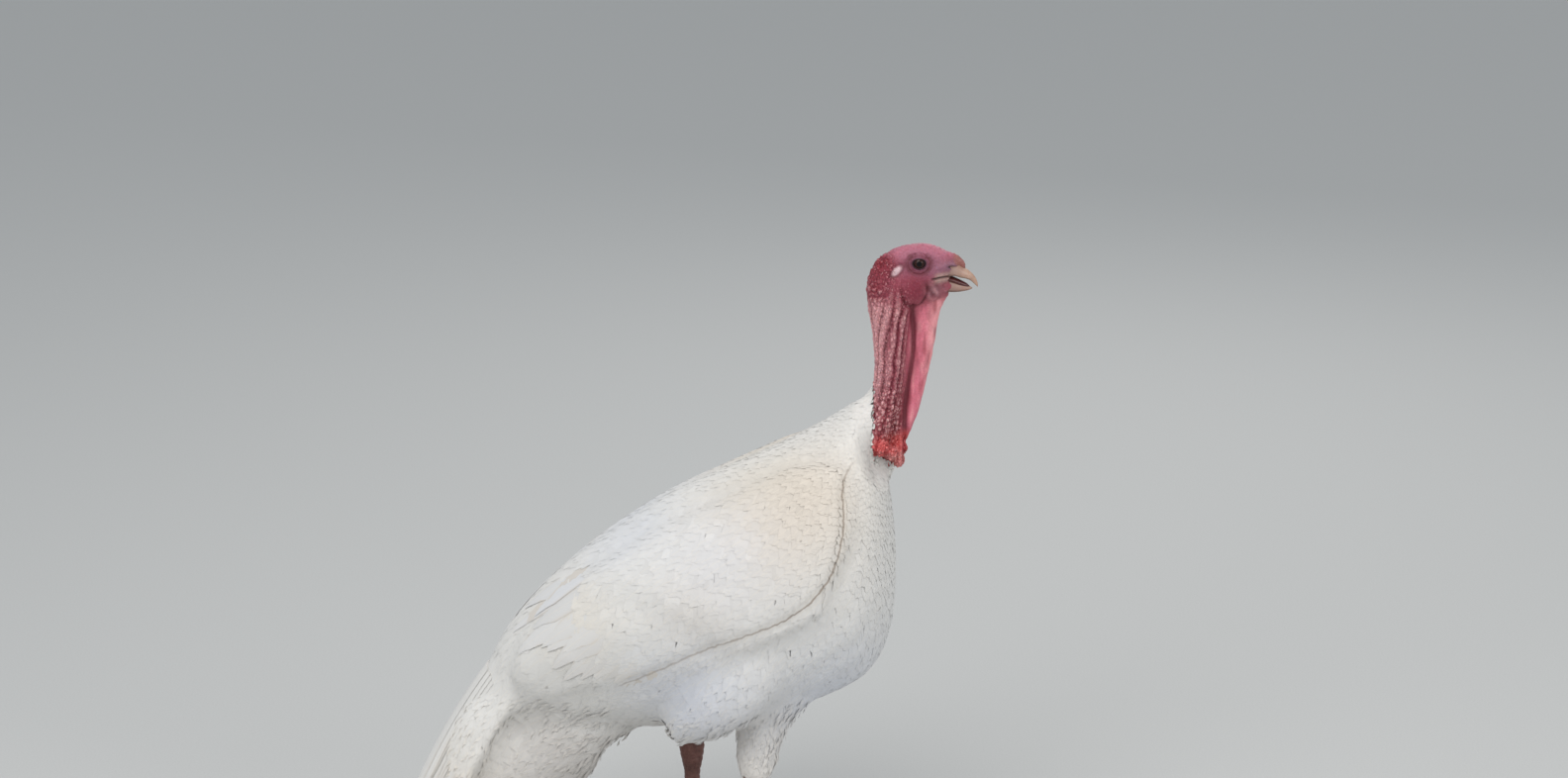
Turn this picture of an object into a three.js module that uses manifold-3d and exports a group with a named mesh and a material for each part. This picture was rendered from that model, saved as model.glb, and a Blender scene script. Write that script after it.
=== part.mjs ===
// A standing white domestic turkey, life size, as a still display model.
// Millimetres, +X towards the bill, +Y to the bird's left, +Z up. The origin is on the floor,
// in the middle of the bird's footprint.
//
// Every big form is a stack of slices. A slice runs from an upper point to a lower point in the
// plane Y = 0 and has a half width, so one short table holds the side view and the plan view.
// Pieces that touch are cut by a slightly swollen copy of the piece that keeps its full shape.

import * as THREE from "three";
import { mergeVertices } from "three/addons/utils/BufferGeometryUtils.js";
import Module from "manifold-3d";

const wasm = await Module();
wasm.setup();

// ---- driving dimensions -------------------------------------------------------------------
const GAP = 0.4; // between pieces that touch
const HEAD_LEVEL = 736; // top of the crown above the floor
const HIP_SPREAD = 70; // each leg's distance from the middle plane
const HOCK_LEVEL = 146; // middle of the ankle joint above the floor
const TOE_RADIUS = 5.6;
const EYE_RADIUS = 7.6;
const COARSENESS = 0.12; // facets may stray this far when fewer of them do

// Each row: upper x, upper z, lower x, lower z, half width, squareness of the lower half.
const TRUNK = [
  [-268, 262, -214, 190, 40, 2.0],
  [-250, 300, -165, 196, 66, 2.1],
  [-221, 339, -122, 204, 86, 2.3],
  [-178, 381, -74, 210, 105, 2.5],
  [-127, 418, -22, 214, 121, 2.6],
  [-73, 455, 34, 220, 131, 2.5],
  [-14, 483, 92, 236, 135, 2.3],
  [42, 509, 146, 262, 129, 2.15],
  [88, 533, 170, 304, 112, 2.1],
  [120, 553, 177, 358, 88, 2.0],
  [139, 568, 176, 414, 60, 2.0],
  [150, 579, 171, 458, 39, 2.0],
  [156, 580, 166, 488, 31, 2.0],
];

// Upper (hind) x and z, lower (fore) x and z, half width, and how thin the fore edge is drawn:
// the bare neck carries a fold of loose skin in front, and the slices fan over into the head.
const NECK = [
  [104, 478, 148, 436, 30, 0.1],
  [134, 528, 178, 500, 28, 0.25],
  [148, 562, 199, 546, 26, 0.5],
  [152, 600, 210, 592, 25.5, 0.6],
  [150, 638, 218, 632, 26, 0.62],
  [144, 668, 222, 660, 27, 0.55],
];
const HEAD = [
  [144, 668, 222, 660, 27, 0.55],
  [143, 688, 226, 670, 27.5, 0.5],
  [147, 706, 229, 675, 26.5, 0.42],
  [157, 720, 231, 678, 25, 0.35],
  [172, 730, 232, 681, 23, 0.3],
  [189, 735, 232, 684, 20.8, 0.25],
  [206, HEAD_LEVEL, 232, 688, 18, 0.2],
  [221, 732, 233, 695, 15, 0.1],
  [233, 725, 236, 703, 11, 0.0],
];

const BILL_UPPER = [
  [225, 715, 225, 701.7, 8.8, 2],
  [239, 714.5, 239, 700.8, 8.2, 2],
  [249, 708, 249, 698, 6.2, 2],
  [257, 702, 255.5, 694, 3.6, 2],
  [261.4, 692.5, 260, 689.8, 1.1, 2],
];
const BILL_LOWER = [
  [222, 697.5, 224, 684.5, 8.2, 2],
  [241, 693.4, 241.5, 684.2, 6.6, 2],
  [250, 691, 250, 684.6, 4.4, 2],
  [256, 688, 255.5, 686, 1.2, 2],
];

// ---- solids -------------------------------------------------------------------------------
const vec = (x, y, z) => new THREE.Vector3(x, y, z);
const smooth = (edge0, edge1, x) => THREE.MathUtils.smoothstep(x, edge0, edge1);

function signedPower(value, power) {
  return Math.sign(value) * Math.abs(value) ** power;
}

// Slices through a table's rows, with smooth curves between them.
class Slices {
  constructor(rows) {
    this.upper = new THREE.CatmullRomCurve3(
      rows.map((r) => vec(r[0], r[4], r[1])), false, "catmullrom", 0.5);
    this.lower = new THREE.CatmullRomCurve3(
      rows.map((r) => vec(r[2], r[5], r[3])), false, "catmullrom", 0.5);
  }

  frame(u) {
    const up = this.upper.getPoint(u);
    const low = this.lower.getPoint(u);
    const height = Math.hypot(up.x - low.x, up.z - low.z) / 2;
    return {
      middle: vec((up.x + low.x) / 2, 0, (up.z + low.z) / 2),
      rise: vec((up.x - low.x) / 2 / height, 0, (up.z - low.z) / 2 / height),
      height,
      width: up.y,
      shape: low.y,
    };
  }

  // The surface at u along the table and angle round the slice (0 on top, positive to +Y).
  point(u, angle, lift = 0) {
    const f = this.frame(u);
    const c = Math.cos(angle);
    const s = Math.sin(angle);
    const power = 2 / (c < 0 ? f.shape : 2);
    const along = signedPower(c, power) * f.height;
    const side = signedPower(s, power) * f.width;
    const normal = vec(0, s / f.width, 0).addScaledVector(f.rise, c / f.height).normalize();
    return f.middle.clone().addScaledVector(f.rise, along).add(vec(0, side, 0))
      .addScaledVector(normal, lift);
  }
}

// Bare neck and head slices: round behind, drawn out to a thin fold in front.
class FoldedSlices extends Slices {
  point(u, angle) {
    const f = this.frame(u);
    const c = Math.cos(angle);
    const thin = 1 - f.shape * smooth(-0.15, 0.85, -c);
    return f.middle.clone().addScaledVector(f.rise, c * f.height)
      .add(vec(0, Math.sin(angle) * f.width * thin, 0));
  }
}

function solidFromTriangles(points, triangles) {
  const geometry = new THREE.BufferGeometry().setFromPoints(points);
  geometry.setIndex(triangles.flat());
  const merged = mergeVertices(geometry, 1e-4);
  const make = (index) => new wasm.Manifold(new wasm.Mesh({
    numProp: 3,
    vertProperties: new Float32Array(merged.attributes.position.array),
    triVerts: new Uint32Array(index),
  }));
  const index = [...merged.index.array];
  const solid = make(index);
  if (solid.volume() > 0) return solid;
  for (let i = 0; i < index.length; i += 3) [index[i], index[i + 1]] = [index[i + 1], index[i]];
  return make(index);
}

function solidFromGeometry(source) {
  const geometry = source.clone();
  geometry.deleteAttribute("normal");
  geometry.deleteAttribute("uv");
  const merged = mergeVertices(geometry, 1e-4);
  const points = [];
  for (let i = 0; i < merged.attributes.position.count; i++)
    points.push(vec().fromBufferAttribute(merged.attributes.position, i));
  const triangles = [];
  for (let i = 0; i < merged.index.count; i += 3)
    triangles.push([0, 1, 2].map((k) => merged.index.getX(i + k)));
  return solidFromTriangles(points, triangles);
}

// Closed tube through rings of points, with a fan over each end.
function tube(rings) {
  const around = rings[0].length;
  const points = rings.flat();
  const triangles = [];
  for (let i = 0; i + 1 < rings.length; i++)
    for (let j = 0; j < around; j++) {
      const a = i * around + j;
      const b = i * around + ((j + 1) % around);
      triangles.push([a, b, a + around], [b, b + around, a + around]);
    }
  for (const [start, flip] of [[0, true], [(rings.length - 1) * around, false]]) {
    const centre = vec();
    for (let j = 0; j < around; j++) centre.add(points[start + j]);
    points.push(centre.divideScalar(around));
    for (let j = 0; j < around; j++) {
      const a = start + j;
      const b = start + ((j + 1) % around);
      triangles.push(flip ? [b, a, points.length - 1] : [a, b, points.length - 1]);
    }
  }
  return solidFromTriangles(points, triangles);
}

const fractions = (n) => Array.from({ length: n + 1 }, (_, i) => i / n);
const turn = (n) => Array.from({ length: n }, (_, i) => (i / n) * 2 * Math.PI);

function loft(slices, along, around, u0 = 0, u1 = 1) {
  return tube(fractions(along).map((t) =>
    turn(around).map((angle) => slices.point(THREE.MathUtils.lerp(u0, u1, t), angle))));
}

// Closed sheet between an outer and an inner surface over the same square of parameters.
function sheet(outer, inner, nu, nv) {
  const grid = (surface) => fractions(nu).map((u) => fractions(nv).map((v) => surface(u, v)));
  const points = [...grid(outer).flat(), ...grid(inner).flat()];
  const row = nv + 1;
  const inside = (nu + 1) * row;
  const triangles = [];
  const quad = (a, b, c, d) => triangles.push([a, b, c], [a, c, d]);
  for (let i = 0; i < nu; i++)
    for (let j = 0; j < nv; j++) {
      const a = i * row + j;
      quad(a, a + 1, a + row + 1, a + row);
      quad(inside + a + row, inside + a + row + 1, inside + a + 1, inside + a);
    }
  const rim = [];
  for (let j = 0; j < nv; j++) rim.push(j);
  for (let i = 0; i < nu; i++) rim.push(i * row + nv);
  for (let j = nv; j > 0; j--) rim.push(nu * row + j);
  for (let i = nu; i > 0; i--) rim.push(i * row);
  rim.forEach((a, k) => {
    const b = rim[(k + 1) % rim.length];
    quad(b, a, inside + a, inside + b);
  });
  return solidFromTriangles(points, triangles);
}

// Tube of round or flattened rings along a curve; sizes(t) gives the two half widths.
function limb(curve, sizes, along, around) {
  const across = vec(0, 1, 0);
  return tube(fractions(along).map((t) => {
    const here = curve.getPointAt(t);
    const ahead = curve.getTangentAt(t);
    const side = across.clone().addScaledVector(ahead, -across.dot(ahead)).normalize();
    const up = ahead.clone().cross(side);
    const [wide, high] = sizes(t);
    return turn(around).map((angle) => here.clone()
      .addScaledVector(side, Math.sin(angle) * wide).addScaledVector(up, Math.cos(angle) * high));
  }));
}

function ball(x, y, z, rx, ry, rz, tiltY = 0, detail = 10) {
  const g = new THREE.SphereGeometry(1, detail + 4, detail);
  g.scale(rx, ry, rz);
  g.rotateY(tiltY);
  g.translate(x, y, z);
  return solidFromGeometry(g);
}

// Straight block right across the bird with the given outline in side view.
function sideProfile(shape, halfWidth) {
  const g = new THREE.ExtrudeGeometry(shape, { depth: 2 * halfWidth, bevelEnabled: false });
  g.rotateX(Math.PI / 2);
  g.translate(0, halfWidth, 0);
  return solidFromGeometry(g);
}

function union(solids) {
  return solids.reduce((a, b) => a.add(b));
}

// Vertices and triangles of a solid.
function facets(solid) {
  const mesh = solid.getMesh();
  const points = [];
  for (let i = 0; i < mesh.numVert; i++) {
    const at = i * mesh.numProp;
    points.push(vec(...mesh.vertProperties.subarray(at, at + 3)));
  }
  const triangles = [];
  for (let i = 0; i < mesh.triVerts.length; i += 3)
    triangles.push([...mesh.triVerts.subarray(i, i + 3)]);
  return { points, triangles };
}

// The same solid with every face moved out by a clearance (sharp corners by up to three times it).
function swollen(solid, clearance = GAP) {
  const { points, triangles } = facets(solid);
  const normals = points.map(() => vec());
  const around = points.map(() => []);
  const face = new THREE.Triangle();
  for (const [a, b, c] of triangles) {
    face.set(points[a], points[b], points[c]);
    const normal = face.getNormal(vec());
    [[a, b, c], [b, c, a], [c, a, b]].forEach(([p, q, r]) => {
      const angle = points[q].clone().sub(points[p]).angleTo(points[r].clone().sub(points[p]));
      normals[p].addScaledVector(normal, angle);
      around[p].push(normal);
    });
  }
  const moved = points.map((p, i) => {
    const out = normals[i].normalize();
    const least = Math.min(...around[i].map((normal) => normal.dot(out)));
    return p.clone().addScaledVector(out, clearance / Math.max(least, 1 / 3));
  });
  return solidFromTriangles(moved, triangles);
}

function largestBody(solid) {
  return solid.decompose().sort((a, b) => b.volume() - a.volume())[0];
}

// ---- trunk, vent and tail -----------------------------------------------------------------
const trunkSlices = new Slices(TRUNK);

// The feathered collar stops short of the bare neck along this side view outline.
const COLLAR = [[150.5, 620], [149.5, 526], [166, 497], [260, 486], [260, 620]];

function trunkSolid() {
  const bareNeck = new THREE.Shape(COLLAR.map(([x, z]) => new THREE.Vector2(x, z)));
  return loft(trunkSlices, 26, 22).subtract(sideProfile(bareNeck, 60));
}

// Soft feathers under the tail, hanging from the vent.
function ventSolid() {
  const slices = new Slices([
    [-150, 300, -80, 222, 60, 2],
    [-190, 268, -108, 190, 66, 2.2],
    [-228, 226, -142, 150, 62, 2.2],
    [-266, 178, -186, 116, 52, 2],
    [-300, 128, -244, 92, 36, 2],
    [-318, 96, -286, 82, 16, 2],
  ]);
  return loft(slices, 9, 14);
}

// Long loose feathers of the flank, hanging outside the leg from under the wing.
function flankSolid(side) {
  const line = new THREE.CatmullRomCurve3([
    vec(46, side * 112, 340),
    vec(16, side * 114, 288),
    vec(-22, side * 108, 240),
    vec(-62, side * 92, 200),
  ]);
  return limb(line, (t) => {
    const swell = Math.sin(Math.PI * THREE.MathUtils.lerp(0.16, 0.93, t)) ** 0.6;
    return [25 * swell, 38 * swell];
  }, 8, 12);
}

const TAIL_ROOT = vec(-205, 0, 338);
const TAIL_TIP = vec(-372, 0, 58);
const TAIL_HALF_WIDTH = 78;
const TAIL_ARCH = 46; // how far the sides hang below the ridge

// The folded tail: a low roof of feathers, bent a little downwards, with a rounded end.
function tailSolid() {
  const ridge = new THREE.QuadraticBezierCurve3(TAIL_ROOT, vec(-306, 0, 240), TAIL_TIP);
  const surface = (depth) => (u, v) => {
    const across = 2 * v - 1;
    const reach = u * (0.975 - 0.13 * across ** 2 + 0.025 * Math.abs(Math.sin(across * 4.5 * Math.PI)));
    const here = ridge.getPoint(reach);
    const ahead = ridge.getTangent(reach);
    const under = vec(-ahead.z, 0, ahead.x);
    const half = THREE.MathUtils.lerp(48, TAIL_HALF_WIDTH, smooth(0, 0.9, u));
    const drop = TAIL_ARCH * across ** 2 * THREE.MathUtils.lerp(0.75, 1, u);
    const thick = depth * THREE.MathUtils.lerp(1, 0.45, u) * (1 - 0.5 * across ** 2);
    return here.clone().addScaledVector(under, drop + thick).add(vec(0, across * half, 0));
  };
  return sheet(surface(0), surface(20), 6, 18);
}

// ---- wings --------------------------------------------------------------------------------
// The folded wing lies on the trunk's own slices, carried on behind the rump.
const wingSlices = new Slices([[-318, 176, -284, 122, 52, 2], [-292, 222, -246, 152, 60, 2], ...TRUNK]);
const wingStep = 1 / (TRUNK.length + 1);
const stationU = (station) => (station + 2) * wingStep;

// Outline of the wing: v runs from the upper edge (0) to the lower edge (1).
function wingAngle(u, v) {
  const toTip = 1 - smooth(stationU(-1.6), stationU(4), u);
  const toWrist = smooth(stationU(6.6), stationU(9.3), u);
  const upper = THREE.MathUtils.degToRad(27 + 22 * toTip + 16 * toWrist ** 2);
  const lower = THREE.MathUtils.degToRad(96 - 8 * toTip - 16 * toWrist ** 2);
  return THREE.MathUtils.lerp(upper, lower, v);
}

const wristU = (v) => stationU(8.75 - 1.5 * (2 * v - 1) ** 4 - 0.35 * v);
const covertU = (v) => stationU(3.9 - 1.2 * (1 - v) ** 2 + 1.3 * v);
const tertialU = (v) => stationU(0.8 + 1.1 * (2 * v - 1) ** 2 - 0.25 * v);

function wingSheet(side, from, to, v0, v1, lift, sunk, nu, nv) {
  const place = (height, edgeHeight) => (a, b) => {
    const v = THREE.MathUtils.lerp(v0, v1, b);
    const u = THREE.MathUtils.lerp(from(v), to(v), a);
    const edge = Math.min(1, 4 * Math.min(b + 0.04, 1 - b + 0.04, 1 - a + 0.03));
    const rounding = Math.sqrt(1 - (1 - edge) ** 2);
    return wingSlices.point(u, side * wingAngle(u, v),
      THREE.MathUtils.lerp(edgeHeight, height, rounding));
  };
  return sheet(place(lift, lift * 0.3), place(-sunk, -sunk * 0.9), nu, nv);
}

function wingCoverts(side) {
  return wingSheet(side, covertU, wristU, 0, 1, 13, 5, 9, 7);
}

function wingSecondaries(side) {
  const butt = (v) => covertU(v) - 0.0018;
  return wingSheet(side, tertialU, butt, 0, 0.8, 9.5, 4, 7, 5);
}

function wingPrimaries(side) {
  const tip = (v) => stationU(-0.5 + 4 * (1 - v));
  const butt = (v) => covertU(v) - 0.0018;
  return wingSheet(side, tip, butt, 0.808, 1, 7, 4.5, 7, 2);
}

// ---- head, neck and their ornaments ---------------------------------------------------------
function neckSolid() {
  return loft(new FoldedSlices(NECK), 12, 20, 0.12, 0.997);
}

function headSolid() {
  const slices = new FoldedSlices(HEAD);
  const skull = loft(slices, 11, 18);
  const mouth = new THREE.Shape([
    new THREE.Vector2(214, 701.6),
    new THREE.Vector2(262, 702.4),
    new THREE.Vector2(262, 694),
    new THREE.Vector2(214, 700.6),
  ]);
  return skull.subtract(sideProfile(mouth, 40));
}

function billSolid(rows) {
  return loft(new Slices(rows), 6, 10);
}

function eyeSolid(side) {
  return ball(198.5, side * 14.6, 718, EYE_RADIUS, EYE_RADIUS, EYE_RADIUS, 0, 8);
}

function snoodSolid() {
  const line = new THREE.QuadraticBezierCurve3(vec(224, 0, 723), vec(244, 0, 721), vec(247.5, 0, 708));
  return limb(line, (t) => {
    const r = 5.2 * (1 - 0.5 * t) * Math.sqrt(1 - 0.93 * t ** 6);
    return [r, r];
  }, 7, 8);
}

// Fleshy lobes at the foot of the bare neck: one on each side and a hanging group in front.
function sideCaruncle(side) {
  return union([
    ball(158, side * 25, 518, 11, 7.5, 8.5, 0.2, 5),
    ball(172, side * 21, 511, 8, 7, 8, 0, 5),
  ]);
}

function frontCaruncle() {
  return union([
    ball(178, -7.5, 503, 8.5, 8, 10, 0.3, 5),
    ball(179, 7.5, 502, 8.5, 8, 10, 0.3, 5),
    ball(184, 0, 513, 7, 7, 8, 0, 5),
  ]);
}

// ---- legs and feet --------------------------------------------------------------------------
// The right leg stands forward, the left one behind it.
const LEGS = {
  right: { side: -1, hip: vec(66, 0, 300), knee: vec(34, 0, 225), hockX: 23, footX: 36, turnOut: -0.14 },
  left: { side: 1, hip: vec(24, 0, 300), knee: vec(-24, 0, 222), hockX: -47, footX: -46, turnOut: 0.16 },
};
const legY = (leg) => leg.side * HIP_SPREAD;

function drumstick(leg) {
  const y = legY(leg);
  const line = new THREE.CatmullRomCurve3([
    leg.hip.clone().setY(y * 0.82),
    leg.knee.clone().setY(y * 0.96),
    vec(leg.hockX, y, HOCK_LEVEL + 4),
  ]);
  return limb(line, (t) => {
    const high = THREE.MathUtils.lerp(50, 25, smooth(0, 0.66, t)) - 8 * smooth(0.7, 1, t);
    const end = Math.sqrt(Math.max(0.02, 1 - smooth(0.86, 1.04, t) ** 2));
    return [high * 0.9 * end, high * end];
  }, 9, 14);
}

const ANKLE_TO_TOES = 9; // height of the shank's lower end
function shank(leg) {
  const y = legY(leg);
  const line = new THREE.CatmullRomCurve3([
    vec(leg.hockX - 1, y, HOCK_LEVEL + 16),
    vec(leg.hockX, y, HOCK_LEVEL),
    vec(leg.hockX + (leg.footX - leg.hockX) * 0.35, y, HOCK_LEVEL * 0.62),
    vec(leg.footX, y, ANKLE_TO_TOES),
  ]);
  return limb(line, (t) => {
    const joint = Math.exp(-(((t - 0.12) / 0.11) ** 2));
    const foot = smooth(0.8, 1, t);
    return [7.2 + 4.6 * joint + 3.2 * foot, 8.4 + 6.2 * joint + 1.2 * foot];
  }, 10, 10);
}

// Angle from straight ahead, length and base height of each toe; the last one points back.
const TOES = [
  { name: "inner", angle: -0.52, length: 58 },
  { name: "middle", angle: 0, length: 76 },
  { name: "outer", angle: 0.5, length: 60 },
  { name: "hind", angle: Math.PI - 0.3, length: 31 },
];
const CLAW_LENGTH = 15;

function toeLine(leg, toe) {
  const heading = leg.turnOut + toe.angle * leg.side;
  const ahead = vec(Math.cos(heading), Math.sin(heading), 0);
  const base = vec(leg.footX, legY(leg), 0);
  const hind = toe.name === "hind";
  const start = base.clone().addScaledVector(ahead, hind ? 2 : 3).setZ(hind ? 13 : 11);
  const bend = base.clone().addScaledVector(ahead, toe.length * 0.42).setZ(TOE_RADIUS);
  const end = base.clone().addScaledVector(ahead, toe.length).setZ(TOE_RADIUS - 1.5);
  return { curve: new THREE.CatmullRomCurve3([start, bend, end]), ahead, end };
}

function toeSolid(leg, toe) {
  const slim = toe.name === "hind" ? 0.84 : 1;
  return limb(toeLine(leg, toe).curve, (t) => {
    const pads = 1 + 0.09 * Math.cos(t * Math.PI * 2 * (toe.length > 40 ? 3 : 1.5));
    const r = slim * pads * THREE.MathUtils.lerp(TOE_RADIUS + 1.4, TOE_RADIUS - 0.9, t);
    return [r * Math.sqrt(1 - 0.75 * t ** 8), r * Math.sqrt(1 - 0.75 * t ** 8)];
  }, 6, 6);
}

// A foot is pressed flat where it meets the floor.
function footSolid(leg) {
  const pad = ball(leg.footX + 1, legY(leg), 6.2, 11, 11, 8, 0, 5);
  const whole = union([pad, ...TOES.map((toe) => toeSolid(leg, toe))]);
  const below = new THREE.BoxGeometry(400, 400, 40);
  below.translate(leg.footX, legY(leg), -20);
  return whole.subtract(solidFromGeometry(below));
}

function clawSolid(leg, toe) {
  const { ahead, end } = toeLine(leg, toe);
  const length = toe.name === "hind" ? CLAW_LENGTH * 0.8 : CLAW_LENGTH;
  const start = end.clone().addScaledVector(ahead, -5).setZ(end.z + 0.6);
  const crest = end.clone().addScaledVector(ahead, length * 0.5).setZ(end.z + 1.6);
  const tip = end.clone().addScaledVector(ahead, length).setZ(1.2);
  const line = new THREE.QuadraticBezierCurve3(start, crest, tip);
  return limb(line, (t) => {
    const r = THREE.MathUtils.lerp(3.5, 0.7, t ** 1.3);
    return [r * 0.8, r];
  }, 4, 5);
}

// ---- assembly -------------------------------------------------------------------------------
const WHITE = { color: 0xe9e6e1, roughness: 0.85 };
const COOL_WHITE = { color: 0xe3e4ea, roughness: 0.85 };
const RED_SKIN = { color: 0xb4525f, roughness: 0.55 };
const CARUNCLE = { color: 0xc8413f, roughness: 0.45 };
const HORN = { color: 0xc9a68e, roughness: 0.4 };
const SHANK_SKIN = { color: 0x9c7f7c, roughness: 0.6 };
const CLAW_HORN = { color: 0x6d5a50, roughness: 0.45 };
const EYE_DARK = { color: 0x2a1713, roughness: 0.08 };

// Each piece keeps its full shape against the pieces listed after it.
const pieces = [];
function piece(name, solid, look) {
  pieces.push({ name, solid, look });
}

for (const side of [-1, 1]) piece(side < 0 ? "eye_right" : "eye_left", eyeSolid(side), EYE_DARK);
piece("snood", snoodSolid(), RED_SKIN);
piece("bill_upper", billSolid(BILL_UPPER), HORN);
piece("bill_lower", billSolid(BILL_LOWER), HORN);
for (const [name, leg] of Object.entries(LEGS)) {
  for (const toe of TOES) piece(`claw_${name}_${toe.name}`, clawSolid(leg, toe), CLAW_HORN);
  piece(`shank_${name}`, shank(leg), SHANK_SKIN);
  piece(`foot_${name}`, footSolid(leg), SHANK_SKIN);
}
piece("head", headSolid(), RED_SKIN);
piece("trunk", trunkSolid(), WHITE);
piece("neck", neckSolid(), RED_SKIN);
piece("caruncle_right", sideCaruncle(-1), CARUNCLE);
piece("caruncle_left", sideCaruncle(1), CARUNCLE);
piece("caruncle_front", frontCaruncle(), CARUNCLE);
for (const [name, leg] of Object.entries(LEGS)) {
  piece(`wing_coverts_${name}`, wingCoverts(leg.side), COOL_WHITE);
  piece(`wing_secondaries_${name}`, wingSecondaries(leg.side), WHITE);
  piece(`wing_primaries_${name}`, wingPrimaries(leg.side), WHITE);
  piece(`drumstick_${name}`, drumstick(leg), COOL_WHITE);
  piece(`flank_${name}`, flankSolid(leg.side), COOL_WHITE);
}
piece("tail", tailSolid(), WHITE);
piece("vent", ventSolid(), COOL_WHITE);

const bird = new THREE.Group();
const done = [];
for (const { name, solid, look } of pieces) {
  const box = solid.boundingBox();
  const near = done.filter(({ box: other }) => [0, 1, 2].every((k) =>
    other.min[k] < box.max[k] + 1 && box.min[k] < other.max[k] + 1));
  const cut = near.reduce((body, other) => body.subtract(other.grown), solid);
  const body = largestBody(cut.simplify(COARSENESS));
  const { points, triangles } = facets(body);
  const geometry = new THREE.BufferGeometry().setFromPoints(points);
  geometry.setIndex(triangles.flat());
  geometry.computeVertexNormals();
  const mesh = new THREE.Mesh(geometry, new THREE.MeshStandardMaterial({ ...look, metalness: 0 }));
  mesh.name = name;
  bird.add(mesh);
  done.push({ box: solid.boundingBox(), grown: swollen(solid).add(solid) });
}

const extent = new THREE.Box3().setFromObject(bird);
bird.position.set(-(extent.min.x + extent.max.x) / 2, -(extent.min.y + extent.max.y) / 2, -extent.min.z);

export default bird;
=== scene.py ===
# A white domestic turkey standing at rest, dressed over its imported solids.
# Lengths are metres; sizes worked out on the bird itself are written in millimetres times MM.
import math

import bmesh
import bpy
import numpy as np
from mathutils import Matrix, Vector, kdtree, noise
from mathutils.bvhtree import BVHTree


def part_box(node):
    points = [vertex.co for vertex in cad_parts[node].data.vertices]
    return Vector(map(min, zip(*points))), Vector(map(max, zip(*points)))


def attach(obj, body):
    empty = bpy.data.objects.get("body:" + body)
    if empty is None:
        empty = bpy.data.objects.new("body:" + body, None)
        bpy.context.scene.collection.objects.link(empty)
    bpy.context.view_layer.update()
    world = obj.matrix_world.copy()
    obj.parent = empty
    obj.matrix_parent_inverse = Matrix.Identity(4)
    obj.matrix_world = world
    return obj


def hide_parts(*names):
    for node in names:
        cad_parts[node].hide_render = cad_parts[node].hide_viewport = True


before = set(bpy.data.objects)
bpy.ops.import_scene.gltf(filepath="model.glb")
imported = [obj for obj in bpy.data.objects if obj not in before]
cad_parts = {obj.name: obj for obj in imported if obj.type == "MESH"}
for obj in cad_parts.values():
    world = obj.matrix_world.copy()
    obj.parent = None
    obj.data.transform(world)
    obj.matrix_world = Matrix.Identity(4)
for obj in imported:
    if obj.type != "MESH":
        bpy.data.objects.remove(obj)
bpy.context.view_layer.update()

MM = 0.001

# ---- The body form -------------------------------------------------------------------------
# The feathered outline that the plumage fills: trunk, folded wings, flanks, thighs, vent and
# tail, softened into one surface. It isn't shown. The skin lies inside it, the feathers on it.

SIDES = {"right": -1, "left": 1}
FLESHED = ["trunk", "vent", *[f"{part}_{side}" for side in SIDES for part in (
    "wing_coverts", "wing_secondaries", "wing_primaries", "flank", "drumstick")]]


def mesh_object(name, points, faces):
    """A new object from a point array and faces of one length (an array) or of mixed lengths (a list)."""
    mesh = bpy.data.meshes.new(name)
    if isinstance(faces, np.ndarray):
        count, corners = faces.shape
        mesh.vertices.add(len(points))
        mesh.vertices.foreach_set("co", np.asarray(points, np.float32).ravel())
        mesh.loops.add(count * corners)
        mesh.loops.foreach_set("vertex_index", faces.astype(np.int32).ravel())
        mesh.polygons.add(count)
        mesh.polygons.foreach_set("loop_start", np.arange(0, count * corners, corners, dtype=np.int32))
    else:
        mesh.from_pydata([tuple(p) for p in points], [], faces)
    mesh.update(calc_edges=True)
    made = bpy.data.objects.new(name, mesh)
    bpy.context.scene.collection.objects.link(made)
    return made


def points_of(made):
    co = np.empty(len(made.data.vertices) * 3, np.float32)
    made.data.vertices.foreach_get("co", co)
    return co.reshape(-1, 3).astype(float)


def normals_of(made):
    out = np.empty(len(made.data.vertices) * 3, np.float32)
    made.data.vertex_normals.foreach_get("vector", out)
    return out.reshape(-1, 3).astype(float)


def set_points(made, points):
    made.data.vertices.foreach_set("co", np.asarray(points, np.float32).ravel())
    made.data.update()


def triangles_of(made):
    made.data.calc_loop_triangles()
    out = np.empty(len(made.data.loop_triangles) * 3, np.int32)
    made.data.loop_triangles.foreach_get("vertices", out)
    return out.reshape(-1, 3)


def applied(made, *modifiers):
    """Adds modifiers given as (type, settings) and makes their result the object's own mesh."""
    for kind, settings in modifiers:
        modifier = made.modifiers.new(kind, kind)
        for key, value in settings.items():
            setattr(modifier, key, value)
    graph = bpy.context.evaluated_depsgraph_get()
    result = bpy.data.meshes.new_from_object(made.evaluated_get(graph))
    made.modifiers.clear()
    old, made.data = made.data, result
    bpy.data.meshes.remove(old)
    return made


def node_shape(name):
    """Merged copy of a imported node's mesh, as points and faces."""
    copy = bmesh.new()
    copy.from_mesh(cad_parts[name].data)
    bmesh.ops.remove_doubles(copy, verts=copy.verts, dist=0.01 * MM)
    points = np.array([v.co[:] for v in copy.verts])
    faces = [[v.index for v in face.verts] for face in copy.faces]
    copy.free()
    return points, faces


def joined(name, parts):
    """One object from several pairs of points and faces."""
    polys, start = [], 0
    for points, faces in parts:
        polys += [tuple(int(i) + start for i in f) for f in faces]
        start += len(points)
    return mesh_object(name, np.concatenate([points for points, _ in parts]), polys)


def clay(name, parts, voxel, smoothing):
    """Parts pressed together into one closed surface of even small faces."""
    return applied(
        joined(name, parts),
        ("REMESH", {"mode": "VOXEL", "voxel_size": voxel, "use_smooth_shade": True}),
        ("SMOOTH", {"factor": 0.5, "iterations": smoothing}))


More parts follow.
